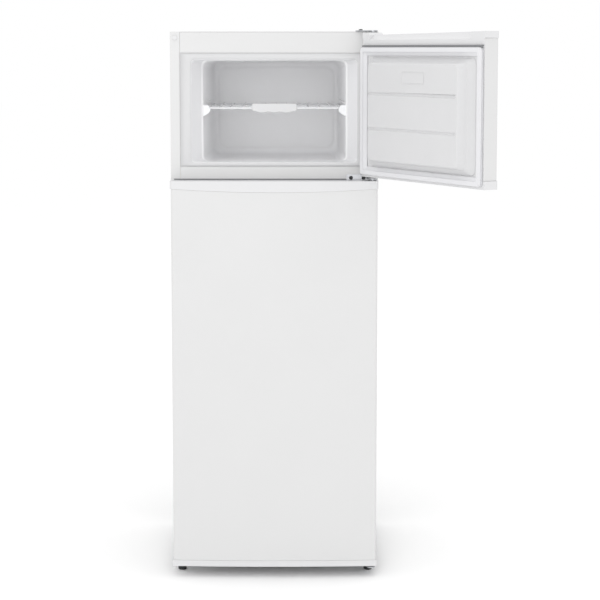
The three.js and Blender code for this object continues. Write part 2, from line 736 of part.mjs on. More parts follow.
// ---------------------------------------------------------------- inside the fridge
const lampHalf = 70;
const ceiling = FRIDGE_TOP - 4;
const housing = { y0: 60, y1: 196, z0: ceiling - 46, z1: ceiling - GAP };
const knobAt = { x: -30, z: ceiling - 24 };
const buttonAt = { x: 45, z: ceiling - 24 };
const knobShaft = 3;
const buttonHole = box(
  buttonAt.x - 5 - GAP, buttonAt.x + 5 + GAP, housing.y0 - 1, housing.y0 + 26,
  buttonAt.z - 5 - GAP, buttonAt.z + 5 + GAP,
);
const knobHole = bar(
  [knobAt.x, housing.y0 - 1, knobAt.z], [knobAt.x, housing.y0 + 14, knobAt.z], knobShaft + GAP,
);
const lampSpace = box(
  -lampHalf + 12, lampHalf - 12, housing.y0 + 40, housing.y1 - 8, housing.z0 - 1, housing.z1 - 6,
);
const housingBlock = box(-lampHalf, lampHalf, housing.y0, housing.y1, housing.z0, housing.z1);
piece("thermostat_housing", cut(housingBlock, buttonHole, knobHole, lampSpace), linerWhite);
piece(
  "thermostat_knob",
  union(
    bar([knobAt.x, housing.y0 - 12, knobAt.z], [knobAt.x, housing.y0 - GAP, knobAt.z], 16, 24),
    bar([knobAt.x, housing.y0 - 2, knobAt.z], [knobAt.x, housing.y0 + 12, knobAt.z], knobShaft),
    box(knobAt.x - 2.5, knobAt.x + 2.5, housing.y0 - 17, housing.y0 - 11, knobAt.z - 15, knobAt.z + 15),
  ),
  capWhite,
);
const DYKE = 40; // height of the raised border on the fridge door's liner
const DYKE_Y = DOOR_BACK + DYKE;
const buttonFront = DYKE_Y + 0.5;
piece(
  "light_switch_button",
  box(buttonAt.x - 5, buttonAt.x + 5, buttonFront, housing.y0 + 12, buttonAt.z - 5, buttonAt.z + 5),
  capWhite,
);
const lampZ = housing.z0 + 18;
const lampY = housing.y0 + 80;
const lampBody = bar([-20, lampY, lampZ], [26, lampY, lampZ], 10, 16);
const lampSocket = bar([22, lampY, lampZ], [lampHalf - 12 - GAP, lampY, lampZ], 7, 12);
piece("lamp", lampBody.add(lampSocket), clearPlastic);

// Glass shelves, each with a moulded trim on its front edge.
const shelfBack = INNER_BACK - 3;
const shelfHalf = halfAt(fridgeRoom, INNER_BACK) - 2;
const TRIM = { front: 8, lap: 8, below: 4, above: 9 };
shelfHeights.forEach((z, i) => {
  const y = SHELF_FRONT;
  const name = i === 0 ? "crisper_cover" : `glass_shelf_${i}`;
  piece(name, box(-shelfHalf, shelfHalf, y, shelfBack, z, z + SHELF_GLASS), glass);
  if (i === 0) return;
  piece(
    `shelf_trim_${i}`,
    cut(
      box(-shelfHalf, shelfHalf, y - TRIM.front, y + TRIM.lap, z - TRIM.below, z + TRIM.above),
      box(
        -shelfHalf - 1, shelfHalf + 1, y - GAP, y + TRIM.lap + 1,
        z - TRIM.below - 1, z + SHELF_GLASS + GAP,
      ),
    ),
    capWhite,
  );
});

const CRISPER = {
  half: shelfHalf - LEDGE,
  y0: SHELF_FRONT + 4,
  y1: HUMP_FRONT - 4,
  z0: FRIDGE_FLOOR + 4 + GAP,
  z1: coverZ - 12,
};
const crisperPull = box(-60, 60, CRISPER.y0 - 10, CRISPER.y0 + 1, CRISPER.z1 - 22, CRISPER.z1 - 16);
const crisperTub = tray(
  -CRISPER.half, CRISPER.half, CRISPER.y0, CRISPER.y1, CRISPER.z0, CRISPER.z1, 2.5,
);
piece("crisper_drawer", crisperTub.add(crisperPull), clearPlastic);

// ---------------------------------------------------------------- inside the freezer
const shelfY0 = 58;
const shelfY1 = INNER_BACK - 12;
const shelfSide = halfAt(freezerRoom, shelfY1) - 5;
const CROSS_WIRE = 1.5;
const wires = 11;
const frameWires = [
  bar([-shelfSide, shelfY0, freezerShelfZ], [shelfSide, shelfY0, freezerShelfZ], WIRE, 8),
  bar([-shelfSide, shelfY1, freezerShelfZ], [shelfSide, shelfY1, freezerShelfZ], WIRE, 8),
  bar([-shelfSide + 2, shelfY0, freezerShelfZ], [-shelfSide + 2, shelfY1, freezerShelfZ], WIRE, 8),
  bar([shelfSide - 2, shelfY0, freezerShelfZ], [shelfSide - 2, shelfY1, freezerShelfZ], WIRE, 8),
];
const crossWires = Array.from({ length: wires }, (_, i) => {
  const x = (i / (wires - 1) - 0.5) * 2 * (shelfSide - 30);
  const z = freezerShelfZ + WIRE;
  return bar([x, shelfY0, z], [x, shelfY1, z], CROSS_WIRE, 6);
});
piece("freezer_wire_shelf", union(...frameWires, ...crossWires), wireWhite);
const GRIP = { half: 59, below: 12, above: 12, front: shelfY0 - WIRE - 3, back: shelfY0 + WIRE + 3 };
piece(
  "freezer_shelf_grip",
  cut(
    box(
      -GRIP.half, GRIP.half, GRIP.front, GRIP.back,
      freezerShelfZ - GRIP.below, freezerShelfZ + GRIP.above,
    ),
    box(
      -GRIP.half - 1, GRIP.half + 1, shelfY0 - WIRE - GAP, GRIP.back + 1,
      freezerShelfZ - WIRE - GAP, freezerShelfZ + WIRE + CROSS_WIRE + 2 * GAP,
    ),
  ),
  wireWhite,
);
// Each support is a block on the side wall, slotted along its length for the shelf's side wire.
const SUPPORT = { y0: 52, y1: 84, below: 21, above: 7 };
[-1, 1].forEach((side) => {
  const reach = [side * (shelfSide - 8), side * HALF].sort((a, b) => a - b);
  const slot = [side * (shelfSide - 20), side * (shelfSide + WIRE)].sort((a, b) => a - b);
  const block = cut(
    box(
      reach[0], reach[1], SUPPORT.y0, SUPPORT.y1,
      freezerShelfZ - SUPPORT.below, freezerShelfZ + SUPPORT.above,
    ).intersect(loft(grown(freezerRoom, -GAP, 0, -GAP))),
    box(
      slot[0], slot[1], SUPPORT.y0 - 1, SUPPORT.y1 + 1,
      freezerShelfZ - WIRE - GAP, freezerShelfZ + WIRE + GAP,
    ),
  );
  piece(side < 0 ? "shelf_support_left" : "shelf_support_right", block, wireWhite);
});

// ---------------------------------------------------------------- doors
// The plan of a door: flat at the back, rounded corners, and a front that swells towards the middle.
function doorPlan(half, inset, back = DOOR_BACK) {
  const sideFront = DOOR_SIDE_FRONT + inset;
  const swell = DOOR_BULGE;
  const flat = half - DOOR_CORNER;
  const radius = (flat * flat + swell * swell) / (2 * swell);
  const middle = sideFront - swell;
  const spread = Math.asin(flat / radius);
  const shape = new THREE.Shape();
  shape.moveTo(half, back);
  shape.lineTo(-half, back);
  shape.lineTo(-half, sideFront + DOOR_CORNER);
  shape.quadraticCurveTo(-half, sideFront, -flat, sideFront);
  shape.absarc(0, middle + radius, radius, -Math.PI / 2 - spread, -Math.PI / 2 + spread, false);
  shape.quadraticCurveTo(half, sideFront, half, sideFront + DOOR_CORNER);
  return shape;
}

// The space that a grip cap takes: a straight edge at the back, and at the front a curve that sags in the
// middle.
const CURVED_BEHIND = -30;
function gripSpace(end, towards, margin) {
  const half = HALF + 2;
  const beyond = end - towards * 5;
  const edge = end + towards * (GRIP_CAP + margin);
  const shape = new THREE.Shape();
  shape.moveTo(-half, beyond);
  shape.lineTo(-half, edge);
  shape.quadraticCurveTo(0, edge + 2 * towards * GRIP_SAG, half, edge);
  shape.lineTo(half, beyond);
  const heights = [beyond, edge].sort((a, b) => a - b);
  return through(shape, -100, CURVED_BEHIND + margin, 20).add(box(-half, half, -99, 1, ...heights));
}

const pinHole = (z0, z1) => bar([PIVOT_X, PIVOT_Y, z0], [PIVOT_X, PIVOT_Y, z1], PIN_RADIUS + GAP, 16);

const ordered = (a, b) => (a < b ? [a, b] : [b, a]);
const CAP_PROUD = 0.5; // end caps stand this far in front of the steel
const PANEL_SHEET = 1.5; // inner panel of a door
const panelHalf = HALF - PANEL_INSET;
const linerHalf = panelHalf - SHEET - GAP;

// The block in an end cap that takes the hinge pin.
function hingeBoss(z0, z1) {
  const sideX = panelHalf - SHEET - 2;
  return box(PIVOT_X - 16, sideX, PIVOT_Y - 12, DOOR_BACK - PANEL_SHEET - GAP, z0, z1);
}

function capHollow(from, to) {
  const wall = SHEET + CAP_WALL;
  return upright(doorPlan(panelHalf - wall, wall, DOOR_BACK - CAP_WALL), ...ordered(from, to));
}

function coveBar(top, margin) {
  return box(
    -linerHalf - margin, linerHalf + margin, DOOR_BACK - 4 - margin, DOOR_BACK + margin,
    top - CAP_COVE - margin, top - 1,
  );
}

// Skin, end caps, inner panel, foam and gasket of a door, laid out as if it were shut. The grip end is the
// one that faces the other door; the plain end is the other.
function buildDoor(name, { bottom, top, gripAtTop, cove, seal, panel, parent, capHoles }) {
  const up = gripAtTop ? 1 : -1;
  const [plainEnd, gripEnd] = gripAtTop ? [bottom, top] : [top, bottom];
  const plainEdge = plainEnd + up * PLAIN_CAP;
  const gripEdge = gripEnd - up * GRIP_CAP;
  const gripCut = gripSpace(gripEnd, -up, GAP);

  const [skinBottom, skinTop] = ordered(plainEdge + up * GAP, gripEnd);
  const skin = cut(
    upright(doorPlan(panelHalf, 0), skinBottom, skinTop),
    upright(doorPlan(panelHalf - SHEET, SHEET, DOOR_BACK + 5), skinBottom - 1, skinTop + 1),
    gripCut,
  );
  piece(`${name}_skin`, skin, steelWhite, parent);

  const holes = [
    pinHole(top - PIN_REACH - 3, top + 5), pinHole(bottom - 5, bottom + PIN_REACH + 3), ...capHoles,
  ];
  const capPlan = doorPlan(HALF, -CAP_PROUD);
  const gripBlock = upright(capPlan, ...ordered(gripEnd, gripEdge - up * 2 * GRIP_SAG));
  const gripCap = union(
    cut(
      gripBlock.intersect(gripSpace(gripEnd, -up, 0)),
      capHollow(gripEnd - up * CAP_WALL, gripEdge - up * 50),
    ),
    hingeBoss(...ordered(gripEnd - up, gripEdge)),
  );
  piece(`${name}_${gripAtTop ? "top" : "bottom"}_cap`, cut(gripCap, ...holes), capWhite, parent);

  const plainBlock = upright(capPlan, ...ordered(plainEnd, plainEdge));
  const plainCap = union(
    cut(
      cove ? plainBlock.add(coveBar(top, 0)) : plainBlock,
      capHollow(plainEnd + up * CAP_WALL, plainEnd + up * 80),
    ),
    hingeBoss(...ordered(plainEnd + up, plainEnd + up * (PIN_REACH + 6))),
  );
  piece(`${name}_${gripAtTop ? "bottom" : "top"}_cap`, cut(plainCap, ...holes), capWhite, parent);

  const plainPanelEdge = cove ? top - CAP_COVE - GAP : plainEdge + up * GAP;
  const [panelBottom, panelTop] = ordered(plainPanelEdge, gripEdge - up * GAP);
  const plate = box(-linerHalf, linerHalf, DOOR_BACK - PANEL_SHEET, DOOR_BACK, panelBottom, panelTop);
  piece(`${name}_liner`, cut(plate.add(panel.body), panel.space), linerWhite, parent);

  const [foamBottom, foamTop] = ordered(plainEnd + up * (PIN_REACH + 6 + GAP), gripEdge - up * GAP);
  const foamBlock = upright(
    doorPlan(linerHalf, SHEET + GAP, DOOR_BACK - PANEL_SHEET - GAP), foamBottom, foamTop,
  );
  const foam = cut(foamBlock.add(panel.foam), gripCut, ...(cove ? [coveBar(top, GAP)] : []));
  piece(`${name}_foam`, foam, foamYellow, parent);

  const half = HALF - GASKET_INSET;
  const channel = 7;
  const gasket = cut(
    ring(half, seal.bottom, seal.top, GASKET_WIDTH, DOOR_BACK + GAP, -GAP),
    ring(
      half - channel, seal.bottom + channel, seal.top - channel, GASKET_WIDTH - 2 * channel,
      DOOR_BACK - 1, DOOR_BACK + 4,
    ),
  );
  piece(`${name}_gasket`, gasket, gasketGrey, parent);
}

// Sections of a raised panel, drawn in by a margin on its face and sides, and open at the back.
function raised(sections, margin) {
  return loft(sections.map((s, i) => ({
    y: i === 0 ? s.y - (margin > 0 ? 1 : 0) : s.y - margin,
    half: s.half - margin,
    bottom: s.bottom + margin,
    top: s.top - margin,
    radius: Math.max(s.radius - margin, 1),
  })));
}

function hollowPanel(make) {
  return { body: make(0), space: make(PANEL_SHEET), foam: make(PANEL_SHEET + GAP) };
}

// The freezer door's raised panel enters the opening when the door is shut.
const freezerSeal = { bottom: FREEZER_DOOR_BOTTOM + 6.5, top: FREEZER_DOOR_TOP - CAP_COVE - 1 };
const entry = OPENING_HALF - 8;
const PAN_FACE = 18; // how far behind the cabinet's front the panel's face comes
const panBase = {
  half: entry + 14,
  bottom: freezerSeal.bottom + GASKET_WIDTH + 1.5,
  top: freezerSeal.top - GASKET_WIDTH - 2.5,
  radius: 12,
};
const panSections = [
  { y: DOOR_BACK - PANEL_SHEET, ...panBase },
  { y: DOOR_BACK, ...panBase },
  { y: -2, half: entry, bottom: FREEZER_FLOOR + 7, top: FREEZER_TOP - 3, radius: 12 },
  { y: PAN_FACE, half: entry - 9, bottom: FREEZER_FLOOR + 14, top: FREEZER_TOP - 9, radius: 12 },
];

// The freezer door hangs open on a pivot; its pieces are laid out shut and turned as one.
const freezerDoor = new THREE.Group();
freezerDoor.position.set(-PIVOT_X, -PIVOT_Y, 0);
const freezerPivot = new THREE.Group();
freezerPivot.position.set(PIVOT_X, PIVOT_Y, 0);
freezerPivot.rotation.z = THREE.MathUtils.degToRad(FREEZER_DOOR_OPEN);
freezerPivot.add(freezerDoor);
cabinet.add(freezerPivot);

const BUSH = { radius: 7, flange: 10 };
const bushFoot = middleLeafZ + LEAF + GAP;
function bushBar(z0, z1, radius, sides) {
  return bar([PIVOT_X, PIVOT_Y, z0], [PIVOT_X, PIVOT_Y, z1], radius, sides);
}
const bushHole = bushBar(
  FREEZER_DOOR_BOTTOM - 5, FREEZER_DOOR_BOTTOM + PIN_REACH + 3, BUSH.radius + GAP, 16,
);
buildDoor("freezer_door", {
  bottom: FREEZER_DOOR_BOTTOM,
  top: FREEZER_DOOR_TOP,
  gripAtTop: false,
  cove: true,
  seal: freezerSeal,
  panel: hollowPanel((margin) => raised(panSections, margin)),
  parent: freezerDoor,
  capHoles: [bushHole],
});
piece(
  "freezer_door_bush",
  cut(
    union(
      bushBar(bushFoot, FREEZER_DOOR_BOTTOM - GAP, BUSH.flange, 20),
      bushBar(bushFoot, FREEZER_DOOR_BOTTOM + PIN_REACH, BUSH.radius, 16),
    ),
    pinHole(FREEZER_DOOR_BOTTOM - 20, FREEZER_DOOR_BOTTOM + 40),
  ),
  blackPlastic,
  freezerDoor,
);

// The fridge door's inner panel has a raised border, and the balconies sit between its sides.
const fridgeSeal = { bottom: FRIDGE_FLOOR - 26, top: FRIDGE_TOP + 25 };
const BORDER = 24;
const border = { half: entry - 1, bottom: FRIDGE_FLOOR + 7, top: FRIDGE_TOP - 9, radius: 12 };
const recess = { half: border.half - BORDER, bottom: border.bottom + 16, top: border.top - 32 };
const borderSections = [
  { y: DOOR_BACK - PANEL_SHEET, ...border, half: border.half + 3 },
  { y: DOOR_BACK, ...border, half: border.half + 3 },
  { y: DYKE_Y, ...border, half: border.half - 3 },
];
function raisedBorder(margin) {
  const behind = margin > 0 ? DOOR_BACK - 5 : DOOR_BACK;
  return cut(
    raised(borderSections, margin),
    box(
      -recess.half - margin, recess.half + margin, behind, DYKE_Y + 1,
      recess.bottom - margin, recess.top + margin,
    ),
  );
}
const BALCONY = { back: DOOR_BACK + GAP, front: 74, wall: 2.5 };
const recessHeight = recess.top - recess.bottom;
const balconies = [
  { name: "door_balcony_lower", z: recess.bottom + 12, height: 110 },
  { name: "door_balcony_middle", z: recess.bottom + 0.42 * recessHeight, height: 66 },
  { name: "door_balcony_upper", z: recess.bottom + 0.72 * recessHeight, height: 66 },
];
const BALCONY_PEG = { reach: 5, height: 8, y0: -6, y1: 20 };
const pegs = balconies.flatMap(({ z }) => [-1, 1].map((side) => box(
  ...ordered(side * (recess.half - BALCONY_PEG.reach), side * (recess.half + 1)),
  BALCONY_PEG.y0, BALCONY_PEG.y1, z - GAP - BALCONY_PEG.height, z - GAP,
)));
const bordered = hollowPanel(raisedBorder);
const fridgeDoor = new THREE.Group();
cabinet.add(fridgeDoor);
buildDoor("fridge_door", {
  bottom: DOOR_BOTTOM,
  top: FRIDGE_DOOR_TOP,
  gripAtTop: true,
  cove: false,
  seal: fridgeSeal,
  panel: { ...bordered, body: union(bordered.body, ...pegs) },
  parent: fridgeDoor,
  capHoles: [],
});
balconies.forEach(({ name, z, height }) => {
  const half = recess.half - GAP;
  const tub = tray(-half, half, BALCONY.back, BALCONY.front, z, z + height, BALCONY.wall);
  piece(name, tub, clearPlastic, fridgeDoor);
});

// ---------------------------------------------------------------- origin at the bottom centre of the whole
cabinet.updateMatrixWorld(true);
const whole = new THREE.Box3().setFromObject(cabinet, true);
const middle = whole.getCenter(new THREE.Vector3());
cabinet.position.set(-middle.x, -middle.y, -whole.min.z);

export default cabinet;
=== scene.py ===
import json
import math

import bmesh
import bpy
from mathutils import Matrix, Vector


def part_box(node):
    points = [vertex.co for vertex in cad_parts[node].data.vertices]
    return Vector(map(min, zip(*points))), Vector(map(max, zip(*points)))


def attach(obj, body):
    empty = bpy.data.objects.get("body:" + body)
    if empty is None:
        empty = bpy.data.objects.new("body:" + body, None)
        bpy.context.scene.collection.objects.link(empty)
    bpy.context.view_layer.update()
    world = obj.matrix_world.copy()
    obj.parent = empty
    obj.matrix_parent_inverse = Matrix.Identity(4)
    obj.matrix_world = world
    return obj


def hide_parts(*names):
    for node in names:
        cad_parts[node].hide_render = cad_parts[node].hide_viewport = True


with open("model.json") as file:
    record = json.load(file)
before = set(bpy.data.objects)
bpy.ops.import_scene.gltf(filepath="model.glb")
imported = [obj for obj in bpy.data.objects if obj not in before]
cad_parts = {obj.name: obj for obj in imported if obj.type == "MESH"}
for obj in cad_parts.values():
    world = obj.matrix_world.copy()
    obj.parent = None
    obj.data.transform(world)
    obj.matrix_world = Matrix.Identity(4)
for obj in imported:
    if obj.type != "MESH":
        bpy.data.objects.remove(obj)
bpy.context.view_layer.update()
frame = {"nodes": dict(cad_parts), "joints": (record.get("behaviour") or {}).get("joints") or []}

# Top freezer refrigerator in white. The pieces are drawn in millimetres from the middle of the cabinet's
# front, on the floor: x to the right, y to the back, z up. TO_FRAME then takes them to the shared frame, in
# metres.
MM = 0.001
SHELL_LOW, SHELL_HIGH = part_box("cabinet_shell")
FRONT_CENTRE = Vector(((SHELL_LOW.x + SHELL_HIGH.x) / 2, SHELL_LOW.y, 0))
TO_FRAME = Matrix.Translation(FRONT_CENTRE) @ Matrix.Scale(MM, 4)
HALF_WIDTH = (SHELL_HIGH.x - SHELL_LOW.x) / 2 / MM

HINGE = next(j for j in frame["joints"] if j["name"] == "freezer_door_hinge")
PIVOT = TO_FRAME.inverted() @ Vector(HINGE["pos_m"])
DOOR_OPEN = -math.radians(HINGE["range_deg"][0])
AROUND_PIVOT = Matrix.Translation((PIVOT.x, PIVOT.y, 0))
SWUNG_OPEN = AROUND_PIVOT @ Matrix.Rotation(DOOR_OPEN, 4, "Z") @ AROUND_PIVOT.inverted()


def span(node):
    """A CAD node's lowest and highest corners, in cabinet millimetres."""
    low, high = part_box(node)
    back = TO_FRAME.inverted()
    return back @ low, back @ high


# ---------------------------------------------------------------- camera and studio
LENS = 110.0
SHIFT = -0.06
EYE = Vector((67, -4780, 1388.5))
TILT_DOWN = math.radians(6.68)
FLOOR_RADIUS = 40

camera_data = bpy.data.cameras.new("camera")
camera_data.lens = LENS
camera_data.shift_y = SHIFT
camera = bpy.data.objects.new("camera", camera_data)
camera.location = TO_FRAME @ EYE
camera.rotation_euler = (math.pi / 2 - TILT_DOWN, 0, 0)
bpy.context.scene.collection.objects.link(camera)
bpy.context.scene.camera = camera


def linear(hex_colour):
    """An sRGB hex colour as linear red, green, blue and alpha."""
    shares = [int(hex_colour[i:i + 2], 16) / 255 for i in (1, 3, 5)]
    return tuple(s / 12.92 if s <= 0.04045 else ((s + 0.055) / 1.055) ** 2.4 for s in shares) + (1.0,)


def add(tree, kind, inputs=None, **settings):
    """Adds a shader node. An input given as another node's output is linked, and any other is set."""
    node = tree.nodes.new(kind)
    for key, value in settings.items():
        setattr(node, key, value)
    for socket, value in (inputs or {}).items():
        if isinstance(value, bpy.types.NodeSocket):
            tree.links.new(value, node.inputs[socket])
        else:
            node.inputs[socket].default_value = value
    return node


def light_studio():
    """A white room of even light, with one broad softbox in front and one overhead."""
    world = bpy.data.worlds.new("white_room")
    world.use_nodes = True
    background = world.node_tree.nodes["Background"]
    background.inputs["Color"].default_value = linear("#ffffff")
    background.inputs["Strength"].default_value = 1.0
    bpy.context.scene.world = world
    bpy.context.scene.view_settings.view_transform = "Standard"
    softboxes = (
        # name, place, aim, size in metres, power in watts
        ("front_softbox", (-500, -4200, 1900), (0, 0, 1100), 2.4, 26),
        ("overhead_softbox", (200, -200, 4200), (100, 0, 0), 3.6, 18),
    )
    for name, place, aim, size, power in softboxes:
        light = bpy.data.lights.new(name, "AREA")
        light.size = size
        light.energy = power
        lamp = bpy.data.objects.new(name, light)
        lamp.location = TO_FRAME @ Vector(place)
        towards = TO_FRAME @ Vector(aim) - lamp.location
        lamp.rotation_euler = towards.to_track_quat("-Z", "Y").to_euler()
        bpy.context.scene.collection.objects.link(lamp)


def lay_floor():
    """A round white floor, wide enough for its rim to lie beyond every view."""
    bm = bmesh.new()
    bmesh.ops.create_circle(bm, cap_ends=True, radius=FLOOR_RADIUS, segments=96)
    mesh = bpy.data.meshes.new("studio_floor")
    bm.to_mesh(mesh)
    floor = bpy.data.objects.new("studio_floor", mesh)
    bpy.context.scene.collection.objects.link(floor)
    material = bpy.data.materials.new("matt_white_floor")
    material.use_nodes = True
    shader = material.node_tree.nodes["Principled BSDF"]
    shader.inputs["Base Color"].default_value = linear("#ffffff")
    shader.inputs["Roughness"].default_value = 0.9
    shader.inputs["Specular IOR Level"].default_value = 0.0
    mesh.materials.append(material)


# ---------------------------------------------------------------- finishes
def finish(
    name, colour, roughness, tint=None, patch=60.0, grain=None, relief=0.0, gloss_patch=0.05, **shader_inputs
):
    """A surface whose colour drifts to its tint over patches, whose gloss drifts with it, and whose grain has
    a relief. patch and grain are sizes in millimetres, and relief is the height of the grain."""
    material = bpy.data.materials.new(name)
    material.use_nodes = True
    tree = material.node_tree
    shader = tree.nodes["Principled BSDF"]
    place = add(tree, "ShaderNodeTexCoord").outputs["Object"]
    drift = add(tree, "ShaderNodeTexNoise", {"Vector": place, "Scale": 1 / (patch * MM), "Detail": 3.0})
    shade = add(tree, "ShaderNodeMix", {"Factor": drift.outputs["Fac"]}, data_type="RGBA")
    shade.inputs["A"].default_value = linear(colour)
    shade.inputs["B"].default_value = linear(tint or colour)
    tree.links.new(shade.outputs["Result"], shader.inputs["Base Color"])
    gloss = add(tree, "ShaderNodeMapRange", {
        "Value": drift.outputs["Fac"],
        "To Min": roughness - gloss_patch,
        "To Max": roughness + gloss_patch,
    })
    tree.links.new(gloss.outputs["Result"], shader.inputs["Roughness"])
    if grain:
        pits = add(tree, "ShaderNodeTexNoise", {"Vector": place, "Scale": 1 / (grain * MM), "Detail": 2.0})
        bump = add(tree, "ShaderNodeBump", {"Height": pits.outputs["Fac"], "Distance": relief * MM})
        tree.links.new(bump.outputs["Normal"], shader.inputs["Normal"])
    for socket, value in shader_inputs.items():
        shader.inputs[socket.replace("_", " ")].default_value = value
    return material


# Powder-coated steel: an even white skin with a faint orange peel. Real peel is about 1 mm across, and it is
# drawn at 2.5 mm.
powder_coated_steel = finish(
    "powder_coated_steel", "#d9d9d9", 0.36, tint="#d6d6d6", patch=180, grain=2.5, relief=0.035,
    Coat_Weight=0.15, Coat_Roughness=0.2,
)
# Vacuum-formed HIPS, door grade: the liner's white painted a shade darker as painted shade, on the doors'
# inner panels and the freezer's flange, waving a little over its length.
painted_shade_hips = finish(
    "painted_shade_hips", "#d5d5d6", 0.42, tint="#d2d2d3", patch=90, grain=28, relief=0.12,
)
# Vacuum-formed HIPS, liner grade: a white brighter than the liner's own, painted light that carries the
# brightness to the back of the freezer, also on the thermostat's housing.
painted_bright_hips = finish(
    "painted_bright_hips", "#fdfdfe", 0.4, tint="#fbfbfc", patch=70, grain=32, relief=0.15,
)
# Vacuum-formed HIPS, a shade greyer: the freezer's mouth and the whole of the fridge compartment's liner.
mouth_hips = finish(
    "mouth_hips", "#ebebec", 0.42, tint="#e8e8ea", patch=80, grain=30, relief=0.12,
)
# Moulded ABS: end caps, trims, grip and knob, with a fine spark-eroded grain. Real grain is 0.3 mm, and it is
# drawn at 1.2 mm.
moulded_abs = finish(
    "moulded_abs", "#dbdbdc", 0.4, tint="#d8d8d9", patch=120, grain=1.2, relief=0.03,
)
# Soft PVC: the magnetic door seals, duller than the plastics about them.
soft_pvc = finish(
    "soft_pvc", "#e0e0e2", 0.62, tint="#dbdbde", patch=35, grain=1.5, relief=0.04, Sheen_Weight=0.15,
)
# Polyethylene-dipped wire: thick, bright, rounded coating. The shelf supports are as bright.
dipped_wire = finish(
    "dipped_wire", "#f4f5f6", 0.34, tint="#eff0f2", patch=25, grain=3.0, relief=0.05, Coat_Weight=0.3,
)
# Zinc-plated steel: hinges, foot stems and the back panel's screws, bright with a cool, cloudy film.
zinc_plated_steel = finish(
    "zinc_plated_steel", "#c6c7c9", 0.34, tint="#b0b2b6", patch=9, grain=1.5, relief=0.03, Metallic=1.0,
)
# Galvanised sheet: back panel, base pan and compressor plate, with spangles some 8 mm across.
galvanised_sheet = finish(
    "galvanised_sheet", "#c9cccf", 0.42, tint="#aeb3b8", patch=8, grain=14, relief=0.08, gloss_patch=0.12,
    Metallic=0.85,
)
# Black stoved enamel: compressor case, condenser and hinge screws, half glossy over a rough drawn steel.
black_enamel = finish(
    "black_enamel", "#1b1c1e", 0.36, tint="#26282b", patch=30, grain=3.5, relief=0.08, Coat_Weight=0.25,
)
# Black polypropylene: covers, feet and the drip tray, with a matt moulded grain.
black_polypropylene = finish(
    "black_polypropylene", "#232426", 0.55, tint="#2c2e31", patch=22, grain=1.6, relief=0.06,
)
# Black rubber: compressor mounts.
rubber = finish("rubber", "#2b2b2c", 0.8, tint="#39393a", patch=12, grain=1.5, relief=0.08)
# Aluminium: the evaporator plates, rolled and dull.
rolled_aluminium = finish(
    "rolled_aluminium", "#c8cacd", 0.38, tint="#b6b9bd", patch=16, grain=2.5, relief=0.03, Metallic=1.0,
)
# Grey painted shade: the strips that stand for the dark shadow in the narrow gaps about the doors.
gap_shadow_grey = finish("gap_shadow_grey", "#8c8d8f", 0.75, tint="#808184", patch=14, grain=1.5, relief=0.04)
# Drawn copper: the drier and the stub pipes, darkened in patches.
drawn_copper = finish(
    "drawn_copper", "#c07c52", 0.32, tint="#8f5638", patch=14, grain=2.5, relief=0.04, Metallic=1.0,
)
# Polyurethane foam: sealed inside the walls, with open bubbles.
polyurethane_foam = finish(
    "polyurethane_foam", "#e6d7a6", 0.9, tint="#d4c08a", patch=12, grain=3.0, relief=0.4,
)
# Clear polystyrene: crisper and balconies, faintly blue at its thickness.
clear_polystyrene = finish(
    "clear_polystyrene", "#f5fafc", 0.09, tint="#eff6f9", patch=50, grain=22, relief=0.05, gloss_patch=0.03,
    Transmission_Weight=0.92, IOR=1.59,
)
# Toughened glass: shelves, faintly green.
toughened_glass = finish(
    "toughened_glass", "#f1f9f6", 0.05, tint="#e9f5f0", patch=90, grain=60, relief=0.02, gloss_patch=0.02,
    Transmission_Weight=0.96, IOR=1.52,
)
# Opal glass: the lamp.
opal_glass = finish("opal_glass", "#f6f3ea", 0.2, tint="#efeadd", patch=20, grain=12, relief=0.03)
# Dark print: the marks round the thermostat's dial.
dark_print = finish("dark_print", "#6c7078", 0.6, tint="#7b7f87", patch=6, grain=1.0, relief=0.02)


# ---------------------------------------------------------------- mesh tools
# The meshes are in cabinet millimetres, and the CAD nodes in metres.
SMALLEST_CORNER = 0.01
SMALLEST_TURN = 0.02
CARVED_WELD = 0.001
CARVED_FLAT = math.radians(0.5)
CAD_WELD = 0.00002
CAD_FLAT = math.radians(0.6)
SHARP_EDGE = math.radians(32)


def skin_over(loops, first=True, ring=False):
    """Faces between loops of equally many points, with a face over the last loop and, unless told not to,
    over the first. A ring joins its last loop to its first and has no such faces."""
    bm = bmesh.new()
    rows = [[bm.verts.new(p) for p in loop] for loop in loops]
    pairs = list(zip(rows, rows[1:]))
    if ring:
        pairs.append((rows[-1], rows[0]))
    count = len(rows[0])
    for a, b in pairs:
        for i in range(count):
            j = (i + 1) % count
            bm.faces.new((a[i], a[j], b[j], b[i]))
    if first and not ring:
        bm.faces.new(rows[0])
    if not ring:
        bm.faces.new(rows[-1])
    bmesh.ops.recalc_face_normals(bm, faces=bm.faces)
    return bm


def rounded(u0, u1, v0, v1, radius, steps=8):
    """A rounded rectangle as pairs of coordinates, going round from its lower right corner."""
    radius = max(radius, SMALLEST_CORNER)
    corners = ((u1 - radius, v0 + radius, -90), (u1 - radius, v1 - radius, 0),
               (u0 + radius, v1 - radius, 90), (u0 + radius, v0 + radius, 180))
    points = []
    for cu, cv, start in corners:
        for i in range(steps + 1):
            angle = math.radians(start + 90 * i / steps)
            points.append((cu + radius * math.cos(angle), cv + radius * math.sin(angle)))
    return points


def upright_loop(x0, x1, z0, z1, radius, y):
    """A rounded rectangle that stands at a depth y."""
    return [(u, y, v) for u, v in rounded(x0, x1, z0, z1, radius)]


def level_loop(x0, x1, y0, y1, radius, z):
    """A rounded rectangle that lies at a height z."""
    return [(u, v, z) for u, v in rounded(x0, x1, y0, y1, radius)]


def block(x0, x1, y0, y1, z0, z1):
    """A plain box between three pairs of limits."""
    return skin_over([
        [(x0, y0, z), (x1, y0, z), (x1, y1, z), (x0, y1, z)] for z in (z0, z1)
    ])


